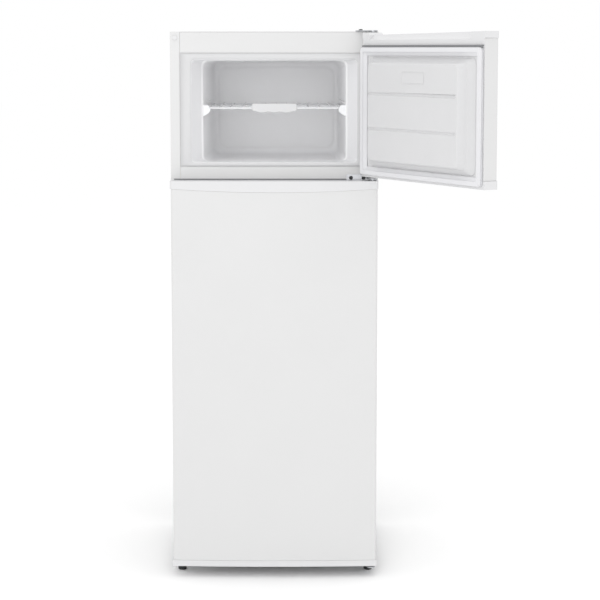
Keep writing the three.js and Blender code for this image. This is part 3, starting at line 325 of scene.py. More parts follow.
def along_y(outline, y0, y1):
    """An outline in x and z, drawn out from y0 to y1."""
    return skin_over([[(x, y, z) for x, z in outline] for y in (y0, y1)])


def along_x(outline, x0, x1):
    """An outline in y and z, drawn out from x0 to x1."""
    return skin_over([[(x, y, z) for y, z in outline] for x in (x0, x1)])


def turned(profile, x, y, z, steps=48, ripple=0.0, ribs=0):
    """A profile of radius and height turned about an upright axis. Ribs ripple its rim."""
    loops = []
    for radius, height in profile:
        loop = []
        for i in range(steps):
            angle = 2 * math.pi * i / steps
            r = max(radius, SMALLEST_TURN) * (1 + ripple * math.cos(ribs * angle))
            loop.append((x + r * math.cos(angle), y + r * math.sin(angle), z + height))
        loops.append(loop)
    return skin_over(loops)


def rod(start, end, radius, sides=10):
    """A straight round bar from one point to another."""
    return tube([Vector(start), Vector(end)], radius, sides)


def tube(path, radius, sides=10):
    """A round tube along a path, its section carried along without twist."""
    points = [Vector(p) for p in path]
    tangents = []
    for i in range(len(points)):
        ahead = points[min(i + 1, len(points) - 1)]
        behind = points[max(i - 1, 0)]
        tangents.append((ahead - behind).normalized())
    side = tangents[0].orthogonal().normalized()
    loops = []
    for point, tangent in zip(points, tangents):
        side = (side - tangent * side.dot(tangent)).normalized()
        other = tangent.cross(side)
        loops.append([
            point + (side * math.cos(a) + other * math.sin(a)) * radius
            for a in (2 * math.pi * k / sides for k in range(sides))
        ])
    return skin_over(loops)


def flowing(points, steps=8):
    """A smooth curve through points."""
    places = [Vector(p) for p in points]
    places = [places[0] * 2 - places[1], *places, places[-1] * 2 - places[-2]]
    curve = []
    for a, b, c, d in zip(places, places[1:], places[2:], places[3:]):
        for i in range(steps):
            t = i / steps
            curve.append(0.5 * (
                2 * b + (c - a) * t
                + (2 * a - 5 * b + 4 * c - d) * t ** 2
                + (3 * b - a - 3 * c + d) * t ** 3
            ))
    curve.append(places[-2])
    return curve


def joined(*meshes):
    """Several meshes as one, left as separate shells."""
    whole = bmesh.new()
    for bm in meshes:
        part = bpy.data.meshes.new("part")
        bm.to_mesh(part)
        bm.free()
        whole.from_mesh(part)
        bpy.data.meshes.remove(part)
    return whole


def carved(body, *cutters, operation="DIFFERENCE"):
    """The first mesh with the others cut out of it, or joined to it when the operation is a union."""
    placed = []
    for bm in (body, *cutters):
        mesh = bpy.data.meshes.new("carving")
        bm.to_mesh(mesh)
        bm.free()
        placed.append(bpy.data.objects.new("carving", mesh))
        bpy.context.scene.collection.objects.link(placed[-1])
    work = placed[0]
    for tool in placed[1:]:
        cut = work.modifiers.new("cut", "BOOLEAN")
        cut.operation = operation
        cut.solver = "EXACT"
        cut.object = tool
    deps = bpy.context.evaluated_depsgraph_get()
    result = bmesh.new()
    result.from_object(work, deps)
    for o in placed:
        bpy.data.objects.remove(o)
    bmesh.ops.remove_doubles(result, verts=result.verts, dist=CARVED_WELD)
    bmesh.ops.dissolve_limit(
        result, angle_limit=CARVED_FLAT, verts=result.verts, edges=result.edges,
    )
    return result


def soften(obj, width, segments=2, tidy=False):
    """Rounds the sharp edges by a width in millimetres and evens the shading. Tidy first welds doubled points
    and merges the triangles of a flat face."""
    if tidy:
        weld = obj.modifiers.new("weld", "WELD")
        weld.merge_threshold = CAD_WELD
        flat = obj.modifiers.new("merge_flat_faces", "DECIMATE")
        flat.decimate_type = "DISSOLVE"
        flat.angle_limit = CAD_FLAT
    if width:
        bevel = obj.modifiers.new("rounded_edges", "BEVEL")
        bevel.width = width * MM
        bevel.segments = segments
        bevel.limit_method = "ANGLE"
        bevel.angle_limit = SHARP_EDGE
        bevel.miter_outer = "MITER_ARC"
    even = obj.modifiers.new("even_shading", "WEIGHTED_NORMAL")
    even.keep_sharp = True


def piece(name, bm, material, body, stands_for=(), edge=0.5, segments=2, hung=False):
    """Makes an object of a mesh, puts it in the frame, and lets it ride on a body. A hung piece is drawn with
    the freezer door shut and swings with it to its open place."""
    bmesh.ops.transform(bm, matrix=TO_FRAME @ SWUNG_OPEN if hung else TO_FRAME, verts=bm.verts)
    bmesh.ops.recalc_face_normals(bm, faces=bm.faces)
    mesh = bpy.data.meshes.new(name)
    bm.to_mesh(mesh)
    bm.free()
    for polygon in mesh.polygons:
        polygon.use_smooth = True
    obj = bpy.data.objects.new(name, mesh)
    bpy.context.scene.collection.objects.link(obj)
    mesh.materials.append(material)
    soften(obj, edge, segments)
    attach(obj, body)
    if stands_for:
        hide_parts(*stands_for)
    return obj


# ---------------------------------------------------------------- freezer compartment
def make_freezer_room():
    """The freezer's liner: a flange, splayed sides with a step in them, rounded inner corners, a raised panel
    on the back wall and a rib above each end of the shelf."""
    low, high = span("freezer_liner")
    flange_half = high.x
    entry_half = HALF_WIDTH - 55
    floor = low.z + 9.7
    roof = high.z - 16.7
    back = high.y - 2
    step_y = 46
    liner_thickness = 1.6
    sections = (
        # y, half width, floor, roof, corner radius
        (0, flange_half, low.z, high.z, 2),
        (0, entry_half + 5, floor - 4, roof + 4, 12),
        (1.2, entry_half + 1.6, floor - 1.6, roof + 1.6, 11),
        (5, entry_half, floor, roof, 10),
        (step_y - 4, entry_half - 20.4, floor, roof, 14),
        (step_y - 1, entry_half - 23, floor, roof, 15),
        (step_y + 2, entry_half - 26, floor - 0.5, roof - 1.5, 17),
        (step_y + 8, entry_half - 26.6, floor - 1, roof - 2, 18),
        (back - 16, entry_half - 36, floor - 3, roof - 4, 24),
        (back - 8, entry_half - 38.4, floor - 0.6, roof - 6.4, 27),
        (back - 3, entry_half - 42, floor + 3.4, roof - 10.4, 29),
        (back, entry_half - 46, floor + 9.4, roof - 16.4, 28),
        (back, entry_half - 52, floor + 15, roof - 22, 24),
        (back - 2.2, entry_half - 55, floor + 18, roof - 25, 22),
        (back - 2.6, entry_half - 58, floor + 21, roof - 28, 20),
    )
    inner = [upright_loop(-half, half, z0, z1, radius, y) for y, half, z0, z1, radius in sections]
    bm = skin_over(inner, first=False)
    middle = Vector((0, back / 2, (floor + roof) / 2))
    for face in bm.faces:
        if face.normal.dot(middle - face.calc_center_median()) < 0:
            face.normal_flip()
    liner = piece(
        "freezer_liner_moulding", bm, painted_bright_hips, "cabinet", ("freezer_liner",), edge=0,
    )
    liner.data.materials.append(mouth_hips)
    liner.data.materials.append(painted_shade_hips)
    # One moulding in three tones by depth: the flange darker as painted shade, the mouth in the plain liner
    # white, the room behind the step brighter as painted light.
    room, mouth, flange = 0, 1, 2
    flange_depth = 1
    for polygon in liner.data.polygons:
        y = (polygon.center.y - FRONT_CENTRE.y) / MM
        if y < flange_depth:
            polygon.material_index = flange
        elif y < step_y - 2:
            polygon.material_index = mouth
        else:
            polygon.material_index = room
    sheet = liner.modifiers.new("sheet_thickness", "SOLIDIFY")
    sheet.thickness = liner_thickness * MM
    sheet.offset = -1

    rib_z = span("freezer_wire_shelf")[1].z + 4
    ribs = []
    for side in (-1, 1):
        wall = entry_half - 30
        far = entry_half - 35.5
        outline = [
            (side * (wall + 3), step_y + 60), (side * (wall - 3.5), step_y + 70),
            (side * (far - 4), back - 30), (side * (far + 3), back - 18),
        ]
        ribs.append(skin_over([[(x, y, z) for x, y in outline] for z in (rib_z, rib_z + 7)]))
    piece("freezer_shelf_guides", joined(*ribs), painted_bright_hips, "cabinet", edge=1.5, segments=3)


def make_wire_shelf():
    """A frame of dipped wire with wires welded across it, and a moulded grip with three scallops in front."""
    low, high = span("freezer_wire_shelf")
    radius = 2.2
    crossing_radius = 1.5
    crossing_count = 11
    z = low.z + 3
    y0 = low.y + 3
    y1 = high.y - 3
    half = (high.x - low.x) / 2 - 1
    outline = [(u, v, z) for u, v in rounded(-half + 2, half - 2, y0, y1, 7, steps=6)]
    frame_wire = tube([*outline, outline[0], outline[1]], radius, 12)
    crossing = []
    for i in range(crossing_count):
        x = (i / (crossing_count - 1) - 0.5) * 2 * (half - 30)
        above = z + radius + 0.6
        crossing.append(rod((x, y0 - 1, above), (x, y1 + 1, above), crossing_radius, 8))
    middle = (y0 + y1) / 2
    stretcher = rod((-half + 3, middle, z - 0.6), (half - 3, middle, z - 0.6), radius, 12)
    wires = joined(frame_wire, stretcher, *crossing)
    piece(
        "freezer_shelf_wires", wires, dipped_wire, "freezer_shelf",
        ("freezer_wire_shelf",), edge=0,
    )

    low, high = span("freezer_shelf_grip")
    bottom = low.z + 4
    outline = rounded(low.x, high.x, bottom, high.z, 5.5, steps=6)
    upper = [(x, v) for x, v in outline if v >= bottom + 0.01]
    fingers = 3
    finger = (high.x - low.x - 24) / fingers
    depth = 4
    under = []
    steps = 36
    for i in range(steps + 1):
        x = high.x - 6 - (high.x - low.x - 12) * i / steps
        inside = (x - low.x - 12) / finger
        dip = depth * abs(math.sin(math.pi * inside)) ** 0.6 if 0 < inside < fingers else 0
        under.append((x, bottom - dip))
    right = [p for p in upper if p[0] > 0]
    left = [p for p in upper if p[0] <= 0]
    grip = along_y(list(reversed(under)) + right + left, low.y, high.y)
    piece(
        "freezer_shelf_finger_grip", grip, moulded_abs, "freezer_shelf", ("freezer_shelf_grip",),
        edge=1.6, segments=3,
    )


def make_shelf_supports():
    """Each support is a moulded nose on the side wall: level above, blunt at its tip, and sloping back to the
    wall below."""
    for side, name in ((-1, "shelf_support_left"), (1, "shelf_support_right")):
        low, high = span(name)
        tip, wall = (high.x, low.x) if side < 0 else (low.x, high.x)
        outline = [
            (wall + side * 2, high.z + 1), (tip + side * 9, high.z + 1),
            (tip + side * 4.5, high.z - 1),
            (tip + side * 1.5, high.z - 6), (tip, high.z - 12), (tip + side, high.z - 16),
            (tip + side * 6, high.z - 21), (wall - side * 3, low.z - 2), (wall + side * 2, low.z - 4),
        ]
        piece(
            f"{name}_nose", along_y(outline, low.y, high.y), dipped_wire, "cabinet", (name,),
            edge=1.6, segments=3,
        )


# ---------------------------------------------------------------- doors
SEAL_SPREAD = 8
FREEZER_SEAL_DROP = 4
DOOR_FACE_Y = -52
# The freezer door's inner panel: heights are above the foot of its raised face.
GROOVE_HEIGHTS = (97.5, 185)
GROOVE_DEPTH = 3.4
PAD_LEFT, PAD_RIGHT = -60, 40
PAD_LOW, PAD_HIGH = 211, 242
PAD_MARGIN = 3


def make_seal(door, hung):
    """A door's magnetic seal: a flat magnet pocket in front of a pleated bellows. The hung one, on the
    freezer door, has a grey strip above it, painted shadow for the dark gap between the seal and its end cap."""
    if hung:
        shut = span("fridge_door_gasket")
        half = shut[1].x
        z0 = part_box("freezer_door_gasket")[0].z / MM
        z1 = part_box("freezer_door_gasket")[1].z / MM - FREEZER_SEAL_DROP
        y0, y1 = shut[0].y, shut[1].y
        # A grey strip painted as the shadow in the gap over the seal; the seal's top is dropped to make room
        # for it.
        strip = block(-half - 6, half + 6, y0 + 0.2, y0 + 6, z1 + 0.4, z1 + 4.6)
        piece("freezer_door_painted_shadow_strip", strip, gap_shadow_grey, door, edge=0.3, hung=True)
    else:
        low, high = span("fridge_door_gasket")
        half, z0, z1, y0, y1 = high.x, low.z, high.z, low.y, high.y
    half += SEAL_SPREAD
    depth = y1 - y0
    section = (
        # inset from the seal's outer edge, share of its depth
        (3, 0.0), (1.2, 0.04), (0.6, 0.16), (4.5, 0.26), (5, 0.34), (0.8, 0.44), (0.4, 0.55), (1.6, 0.7),
        (1.4, 0.94), (2.4, 1.0), (11.5, 1.0), (12.4, 0.93), (12.2, 0.7), (18.6, 0.46), (21.4, 0.2),
        (21.6, 0.06), (20, 0.0),
    )
    loops = []
    for inset, share in section:
        corner = max(9 - inset * 0.35, 1.5)
        loops.append(upright_loop(
            -half + inset, half - inset, z0 + inset, z1 - inset, corner, y0 + share * depth,
        ))
    piece(
        f"{door}_magnetic_seal", skin_over(loops, ring=True), soft_pvc, door, (f"{door}_gasket",),
        edge=0, hung=hung,
    )


def make_freezer_door_panel():
    """The freezer door's inner panel: a flat rim, a narrow channel, a sloping side and a face with two
    grooves and a blank pad."""
    rim_half = span("fridge_door_liner")[1].x
    z0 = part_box("freezer_door_liner")[0].z / MM
    z1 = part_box("freezer_door_liner")[1].z / MM
    rim_y = span("fridge_door_gasket")[0].y - 0.3
    face_y = rim_y + 30
    foot0, foot1 = z0 + 10.5, z1 - 31
    base = HALF_WIDTH - 38
    sections = (
        # y, half width, bottom, top, corner radius
        (rim_y - 1.4, rim_half, z0, z1, 1),
        (rim_y, rim_half, z0, z1, 1),
        (rim_y, base + 3, foot0 - 3, foot1 + 3, 16),
        (rim_y - 1.1, base + 1.8, foot0 - 1.8, foot1 + 1.8, 15),
        (rim_y - 1.1, base + 0.6, foot0 - 0.6, foot1 + 0.6, 14),
        (rim_y + 0.6, base, foot0, foot1, 14),
        (rim_y + 9, base - 22, foot0 + 10, foot1 - 7.5, 14),
        (rim_y + 12, base - 24, foot0 + 11.4, foot1 - 8.9, 14),
        (rim_y + 25, base - 31.6, foot0 + 15.5, foot1 - 13.1, 14),
        (rim_y + 28.4, base - 33.6, foot0 + 17, foot1 - 14.7, 14),
        (face_y, base - 36.5, foot0 + 19.8, foot1 - 17.5, 12),
    )
    panel = skin_over([upright_loop(-h, h, b, t, r, y) for y, h, b, t, r in sections])
    face_half = base - 36.5
    grooves = []
    for height in GROOVE_HEIGHTS:
        z = foot0 + height
        outline = [
            (face_y - GROOVE_DEPTH, z - 1.6), (face_y - GROOVE_DEPTH, z + 1), (face_y + 0.2, z + 4.6),
            (face_y + 3, z + 4.6), (face_y + 3, z - 5.4), (face_y + 0.2, z - 5.4),
        ]
        grooves.append(along_x(outline, -face_half + 4, face_half + 30))
    pad = skin_over([
        upright_loop(PAD_LEFT, PAD_RIGHT, foot0 + PAD_LOW, foot0 + PAD_HIGH, 4, y)
        for y in (face_y - 0.9, face_y + 4)
    ])
    panel = carved(panel, *grooves, pad)
    piece(
        "freezer_door_inner_panel", panel, painted_shade_hips, "freezer_door",
        ("freezer_door_liner",), edge=0.9, segments=3, hung=True,
    )
    plate_low = foot0 + (PAD_LOW + PAD_MARGIN)
    plate_high = foot0 + (PAD_HIGH - PAD_MARGIN)
    plate = skin_over([
        upright_loop(PAD_LEFT + PAD_MARGIN, PAD_RIGHT - PAD_MARGIN, plate_low, plate_high, 3, y)
        for y in (face_y - 0.8, face_y - 0.1)
    ])
    piece(
        "freezer_door_blank_pad", plate, painted_shade_hips, "freezer_door", edge=0.3, hung=True,
    )


def make_freezer_door_foam():
    """The foam in the freezer door: a slab in the door, and a pad in the inner panel that stays clear of its
    grooves."""
    z0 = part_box("freezer_door_foam")[0].z / MM
    z1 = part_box("freezer_door_foam")[1].z / MM
    slab_half = HALF_WIDTH - 9
    pad_half = 185
    slab = block(-slab_half, slab_half, -47, -14, z0, z1 - 12)
    pad = block(-pad_half, pad_half, -15, 13, z0 + 36, z1 - 66)
    piece(
        "freezer_door_foam_core", joined(slab, pad), polyurethane_foam, "freezer_door",
        ("freezer_door_foam",), edge=3, hung=True,
    )


def door_outline(half, inset, back):
    """A door seen from above: flat behind, round at its corners, and swelling towards the middle in front."""
    corner = 7
    side_front = DOOR_FACE_Y + inset
    swell = 8
    flat = half - corner
    radius = (flat * flat + swell * swell) / (2 * swell)
    spread = math.asin(flat / radius)
    points = [(half, back), (-half, back)]
    for i in range(9):
        angle = math.radians(180 + 90 * i / 8)
        points.append((-flat + corner * math.cos(angle), side_front + corner + corner * math.sin(angle)))
    steps = 48
    for i in range(1, steps):
        angle = -math.pi / 2 - spread + 2 * spread * i / steps
        points.append((radius * math.cos(angle), side_front - swell + radius + radius * math.sin(angle)))
    for i in range(9):
        angle = math.radians(-90 + 90 * i / 8)
        points.append((flat + corner * math.cos(angle), side_front + corner + corner * math.sin(angle)))
    return points


def make_freezer_top_cap():
    """The freezer door's top end cap. Its top is dished between two end blocks, with a round cove behind."""
    z0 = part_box("freezer_door_top_cap")[0].z / MM
    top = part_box("freezer_door_top_cap")[1].z / MM
    half = HALF_WIDTH
    outline = door_outline(half, inset=-0.5, back=-12)
    front = skin_over([[(x, y, z) for x, y in outline] for z in (top - 16, top)])
    back = block(-half + 3.8, half - 3.8, -16, -12, z0, top - 1)
    filling = block(-half + 4.2, half - 4.2, -36, -13, z0 + 10, top - 2)
    cap = carved(front, back, filling, operation="UNION")
    dish = along_y([
        (-half + 12, top + 5), (-half + 12, top - 0.3), (half - 34, top - 6), (half - 22, top + 5),
    ], -90, 10)
    cove_y, cove_radius = -8, 19
    cove = along_x([
        (cove_y + cove_radius * math.cos(math.radians(a)), top + cove_radius * math.sin(math.radians(a)))
        for a in range(0, 360, 10)
    ], -half + 58, half - 34)
    cap = carved(cap, dish, cove)
    piece(
        "freezer_door_top_end_cap", cap, moulded_abs, "freezer_door", ("freezer_door_top_cap",),
        edge=1.0, segments=3, hung=True,
    )


def make_gap_shadow_strip():
    """A grey strip along the middle rail, as far as the hinge plate: painted shadow that draws the dark line
    of the deep gap between the two doors."""
    top = span("fridge_door_top_cap")[1].z + 3
    plate = span("middle_hinge")[0].x
    strip = block(-HALF_WIDTH + 8, plate + 1, -0.7, -0.05, top - 7, top)
    piece("middle_rail_painted_shadow_strip", strip, gap_shadow_grey, "cabinet", edge=0.2)


# ---------------------------------------------------------------- machinery at the back
def make_condenser():
    """A wire-on-tube condenser: one winding tube with upright wires welded to it on both sides."""
    high = span("condenser")[1]
    tube_radius = 2.5
    coil_y = high.y - 3.8
    coil_half = HALF_WIDTH - 42
    top = high.z - 33.8
    passes = 15
    bottom = 338
    pitch = (top - bottom) / (passes - 1)
    bend = pitch / 2
    path = []
    for i in range(passes):
        z = top - i * pitch
        side = 1 if i % 2 == 0 else -1
        straight = coil_half - bend
        path.append((-side * straight, coil_y, z))
        path.append((side * straight, coil_y, z))
        if i < passes - 1:
            for k in range(1, 10):
                angle = math.pi * k / 10
                path.append((
                    side * (straight + bend * math.sin(angle)), coil_y, z - bend + bend * math.cos(angle),
                ))
    case_low, case_high = span("compressor")
    pump = (case_low + case_high) / 2
    riser = flowing([
        (case_low.x + 28, pump.y + 8, case_low.z + 134), (case_low.x - 10, pump.y + 20, case_low.z + 142),
        (-coil_half - 18, coil_y - 26, 238), (-coil_half - 18, coil_y, 308),
        (-coil_half - 18, coil_y, 700), (-coil_half - 18, coil_y, top - 60),
        (-coil_half - 12, coil_y, top - 14), (-coil_half + 8, coil_y, top), (-coil_half + bend, coil_y, top),
    ])
    drier_low, drier_high = span("filter_drier")
    drier = (drier_low + drier_high) / 2
    last = passes % 2 * 2 - 1
    feed = flowing([
        (last * (coil_half - bend), coil_y, bottom), (last * (coil_half - 14), coil_y, bottom - 8),
        (last * coil_half, coil_y, bottom - 40), (coil_half - 14, coil_y - 10, 258),
        (drier.x + 12, drier.y + 8, drier_high.z + 40), (drier.x, drier.y, drier_high.z + 24),
        (drier.x, drier.y, drier_high.z + 1),
    ])
    wires = []
    wire_half = coil_half - bend - 4
    wire_radius = 0.75
    spacing = 6.4
    count = int(2 * wire_half / spacing)
    for i in range(count + 1):
        x = -wire_half + 2 * wire_half * i / count
        for face in (-1, 1):
            y = coil_y + face * (tube_radius + 0.5)
            wires.append(rod((x, y, bottom - 12), (x, y, top + 12), wire_radius, 6))
    brackets = []
    bracket_x = coil_half * 0.62
    for x in (-bracket_x, bracket_x):
        for z in (bottom - 6, top + 6):
            brackets.append(block(x - 6, x + 6, span("back_panel")[1].y + 0.3, coil_y + 3, z - 5, z + 5))
    tubes = [tube(way, tube_radius, 12) for way in (path, riser, feed)]
    piece(
        "condenser_coil", joined(*tubes, *wires, *brackets), black_enamel, "cabinet",
        ("condenser",), edge=0,
    )


def make_compressor():
    """The compressor: a drawn case with a welded seam, on a plate with four rubber mounts, and its stub
    pipes."""
    low, high = span("compressor")
    x, y = (low.x + high.x) / 2, (low.y + high.y) / 2
    z = low.z
    rise = 13.7
    widest = 70
    profile = [
        (0.1, 0), (30, 0.5), (48, 3), (59, 9), (66, 18), (68, 28), (68, 76), (69, 78), (71.5, 78.6),
        (72, 81), (71.5, 84), (69, 85), (66.5, 87), (65, 105), (63, 124), (58, 138), (48, 149),
        (34, 156), (18, 159), (0.1, 160),
    ]
    case = turned([(min(r, widest), h + rise) for r, h in profile], x, y, z, steps=72)
    plate = skin_over([
        level_loop(x - 100, x + 100, y - 60, y + 60, 14, z + rise),
        level_loop(x - 100, x + 100, y - 60, y + 60, 14, z + rise + 3),
    ])
    piece(
        "compressor_case", joined(case, plate), black_enamel, "cabinet",
        ("compressor",), edge=0.4,
    )
    mount_x, mount_y = 86, 46
    grommets = []
    for sx in (-1, 1):
        for sy in (-1, 1):
            grommets.append(turned(
                [(9, 0), (9, 4), (6.5, 5), (6.5, 8), (9, 9), (9, rise), (6, rise), (6, rise + 3.2),
                 (8.6, rise + 3.2), (8.2, rise + 5)],
                x + sx * mount_x, y + sy * mount_y, z, steps=28,
            ))
    piece("compressor_grommets", joined(*grommets), rubber, "cabinet", edge=0)
    stubs = [
        tube(flowing([(x - 40, y - 40, z + 140), (x - 70, y - 52, z + 150), (x - 84, y - 54, z + 120),
                      (x - 86, y - 54, z + 60)]), 3.2, 12),
        tube(flowing([(x - 30, y + 44, z + 130), (x - 48, y + 52, z + 142), (x - 60, y + 54, z + 128),
                      (x - 62, y + 54, z + 96)]), 2.6, 12),
    ]
    piece("compressor_stub_pipes", joined(*stubs), drawn_copper, "cabinet", edge=0)


def make_back_panel():
    """The pressed back panel, stiffened by raised beads and held by a row of screws."""
    low, high = span("back_panel")
    beads = []
    width = high.x - low.x
    for share in (0.22, 0.5, 0.78):
        z = low.z + share * (high.z - low.z)
        beads.append(skin_over([
            upright_loop(-width / 2 + 60, width / 2 - 60, z - 9, z + 9, 8.9, high.y - 0.2),
            upright_loop(-width / 2 + 62, width / 2 - 62, z - 7, z + 7, 6.9, high.y + 1.6),
            upright_loop(-width / 2 + 65, width / 2 - 65, z - 4, z + 4, 3.9, high.y + 2.2),
        ]))
    piece("back_panel_beads", joined(*beads), galvanised_sheet, "cabinet", edge=0)
    heads = []
    screws_each_side = 7
    for side in (-1, 1):
        for i in range(screws_each_side):
            z = low.z + 30 + i * (high.z - low.z - 60) / (screws_each_side - 1)
            heads.append(screw_head((side * (width / 2 - 9), high.y, z), "back", 4.2))
    piece("back_panel_screws", joined(*heads), zinc_plated_steel, "cabinet", edge=0)


def screw_head(place, facing, radius, depth=2.4):
    """A domed screw head with a cross recess, facing front, back or up."""
    bed = depth * 0.35
    profile = [
        (radius, -0.3), (radius, bed), (radius * 0.86, depth * 0.75), (radius * 0.5, depth), (0.1, depth),
    ]
    head = turned(profile, 0, 0, 0, steps=28)
    reach = radius * 0.62
    slit = radius * 0.14
    arms = [
        block(-reach, reach, -slit, slit, bed, depth + 2),
        block(-slit, slit, -reach, reach, bed, depth + 2),
    ]
    head = carved(head, *arms)
    turn = {"up": 0, "front": math.pi / 2, "back": -math.pi / 2}[facing]
    bmesh.ops.transform(
        head, matrix=Matrix.Translation(place) @ Matrix.Rotation(turn, 4, "X"), verts=head.verts,
    )
    return head


def make_hinge_screws():
    """The hinges' pan-head screws."""
    for name, facing in (("top_hinge_screw_1", "up"), ("top_hinge_screw_2", "up"),
                         ("middle_hinge_screw_1", "front"), ("middle_hinge_screw_2", "front")):
        low, high = span(name)
        x = (low.x + high.x) / 2
        if facing == "up":
            place = Vector((x, (low.y + high.y) / 2, high.z - 3))
        else:
            place = Vector((x, low.y + 3, (low.z + high.z) / 2))
        shank_end = Vector((0, 0, -13)) if facing == "up" else Vector((0, 13, 0))
        screw = joined(screw_head(place, facing, 5, depth=3), rod(place, place + shank_end, 2, 16))
        piece(f"{name}_cross_head", screw, black_enamel, "cabinet", (name,), edge=0)


# ---------------------------------------------------------------- feet
def make_feet():
    """The front feet: a ribbed pad under a steel stem with a hexagon. The rear feet are plain cones."""
    for name in ("front_foot_left", "front_foot_right"):
        low, high = span(name)
        x, y = (low.x + high.x) / 2, (low.y + high.y) / 2
        pad = turned(
            [(8, 0), (10, 0), (10.9, 1.6), (10.9, 10), (9.8, 12.4), (6, 13.6), (4, 13.8)], x, y, 0,
            steps=96, ripple=0.018, ribs=24,
        )
        piece(f"{name}_ribbed_pad", pad, black_polypropylene, name, (name,), edge=0)
        crest, root, pitch = 4.0, 3.55, 1.25
        thread = []
        z = 16.0
        while z < high.z - 1:
            thread += [(crest, z - 0.6), (root, z)]
            z += pitch
        stem = joined(
            turned([(7.4, 13.6), (7.4, 18)], x, y, 0, steps=6),
            turned([(4, 13.4), *thread, (3.9, high.z)], x, y, 0, steps=32),
        )
        piece(f"{name}_stem", stem, zinc_plated_steel, name, edge=0)
    for name in ("rear_foot_left", "rear_foot_right"):
        low, high = span(name)
        x, y = (low.x + high.x) / 2, (low.y + high.y) / 2
        cone = turned(
            [(15, 0), (17, 0), (18.4, 1.2), (19, 3), (18.6, 5), (15.4, high.z - 1.5), (14, high.z)],
            x, y, 0, steps=64,
        )
        piece(f"{name}_cone", cone, black_polypropylene, "cabinet", (name,), edge=0.3)


# ---------------------------------------------------------------- fridge compartment
def tub(x0, x1, y0, y1, z0, z1, wall, radius, draft=3, lip=0.0):
    """An open tub with sloping walls, a rounded floor and a lip round its rim."""
    rows = (
        # inset, corner radius, height
        (draft + 4, radius, z0),
        (draft + 0.8, radius + 2, z0 + 1.4),
        (draft, radius + 2, z0 + 5),
        (lip, radius, z1 - 5),
        (lip, radius, z1 - 4.2),
        (0, radius, z1 - 3.6),
        (0, radius, z1 - 0.6),
        (0.8, radius, z1),
        (lip + wall, radius, z1),
        (lip + wall, radius, z1 - 5),
        (draft + wall, radius, z0 + wall + 4),
        (draft + wall + 2, radius, z0 + wall + 0.8),
        (draft + wall + 5, radius, z0 + wall),
    )
    return skin_over([
        level_loop(x0 + inset, x1 - inset, y0 + inset, y1 - inset, corner, z) for inset, corner, z in rows
    ])


def make_balconies():
    """The door balconies: clear tubs with a lip round their rim and ribs across their floors."""
    for name in ("door_balcony_lower", "door_balcony_middle", "door_balcony_upper"):
        low, high = span(name)
        body = tub(low.x, high.x, low.y, high.y, low.z, high.z, 2.4, 9, draft=2.5, lip=1.2)
        ribs = []
        gaps = 12
        for i in range(1, gaps):
            x = low.x + (high.x - low.x) * i / gaps
            ribs.append(block(x - 0.8, x + 0.8, low.y + 6, high.y - 5.4, low.z + 2.4, low.z + 4.2))
        piece(f"{name}_tub", body, clear_polystyrene, "fridge_door", (name,), edge=0)
        piece(
            f"{name}_floor_ribs", joined(*ribs), clear_polystyrene, "fridge_door", edge=0.3,
        )


def make_crisper():
    """The crisper: a clear tub with flutes down its front and a turned-out pull."""
    low, high = span("crisper_drawer")
    front = low.y + 10
    body = tub(low.x, high.x, front, high.y, low.z, high.z, 2.6, 14, draft=5, lip=2)
    piece(
        "crisper_tub", body, clear_polystyrene, "crisper_drawer",
        ("crisper_drawer",), edge=0,
    )
    pull_half = 62
    pull = along_x([
        (front + 1.5, high.z - 26), (front - 4, high.z - 24), (low.y + 0.8, high.z - 17),
        (low.y, high.z - 12), (low.y + 2, high.z - 11), (front - 3, high.z - 17), (front + 1.5, high.z - 18),
    ], -pull_half, pull_half)
    flutes = []
    flute_radius = 1.3
    flute_count = 21
    for i in range(flute_count):
        x = low.x + 26 + i * (high.x - low.x - 52) / (flute_count - 1)
        foot = (x, front + 3.6, low.z + 16)
        if abs(x) > pull_half + 8:
            head = (x, front + 2.0, high.z - 12)
        else:
            head = (x, front + 2.4, high.z - 34)
        flutes.append(rod(foot, head, flute_radius, 10))
    piece(
        "crisper_pull", joined(pull, *flutes), clear_polystyrene, "crisper_drawer", edge=0.6,
    )


def make_drip_tray():
    """The shallow tray that catches the defrost water over the compressor."""
    low, high = span("drip_tray")
    body = tub(low.x, high.x, low.y, high.y, low.z, high.z, 2, 12, draft=6, lip=1.5)
    piece("drip_tray_tub", body, black_polypropylene, "cabinet", ("drip_tray",), edge=0)


def make_thermostat():
    """The thermostat's knob, ribbed round its rim, with a pointer, and a ring of marks on the housing."""
    low, high = span("thermostat_knob")
    x, z = (low.x + high.x) / 2, (low.z + high.z) / 2
    radius = (high.x - low.x) / 2
    profile = [
        (radius - 1.6, -2), (radius, -0.6), (radius - 0.6, 7), (radius - 2.4, 9.6), (radius - 6, 10.4),
        (0.1, 10.4),
    ]
    knob = turned(profile, 0, 0, 0, steps=96, ripple=0.022, ribs=24)
    ridge = block(-1.6, 1.6, -radius + 2.4, radius - 2.6, 9.4, 13)
    dial = joined(knob, ridge)
    face_front = Matrix.Translation((x, low.y + 14, z)) @ Matrix.Rotation(math.pi / 2, 4, "X")
    bmesh.ops.transform(dial, matrix=face_front, verts=dial.verts)
    shaft = rod((x, low.y + 10, z), (x, high.y, z), 3, 20)
    piece(
        "thermostat_dial", joined(dial, shaft), moulded_abs, "thermostat_knob",
        ("thermostat_knob",), edge=0.4,
    )
    house_low, house_high = span("thermostat_housing")
    marks = []
    mark_count = 7
    ring = radius + 3.4
    for i in range(mark_count):
        angle = math.radians(-45 + 270 * i / (mark_count - 1))
        size = 1.6 if i else 1.0
        cx = x + ring * math.cos(angle)
        cz = z + ring * math.sin(angle)
        if house_low.z + 2 < cz < house_high.z - 2:
            marks.append(rod((cx, house_low.y - 0.15, cz), (cx, house_low.y + 0.5, cz), size, 16))
    piece("thermostat_dial_marks", joined(*marks), dark_print, "cabinet", edge=0)


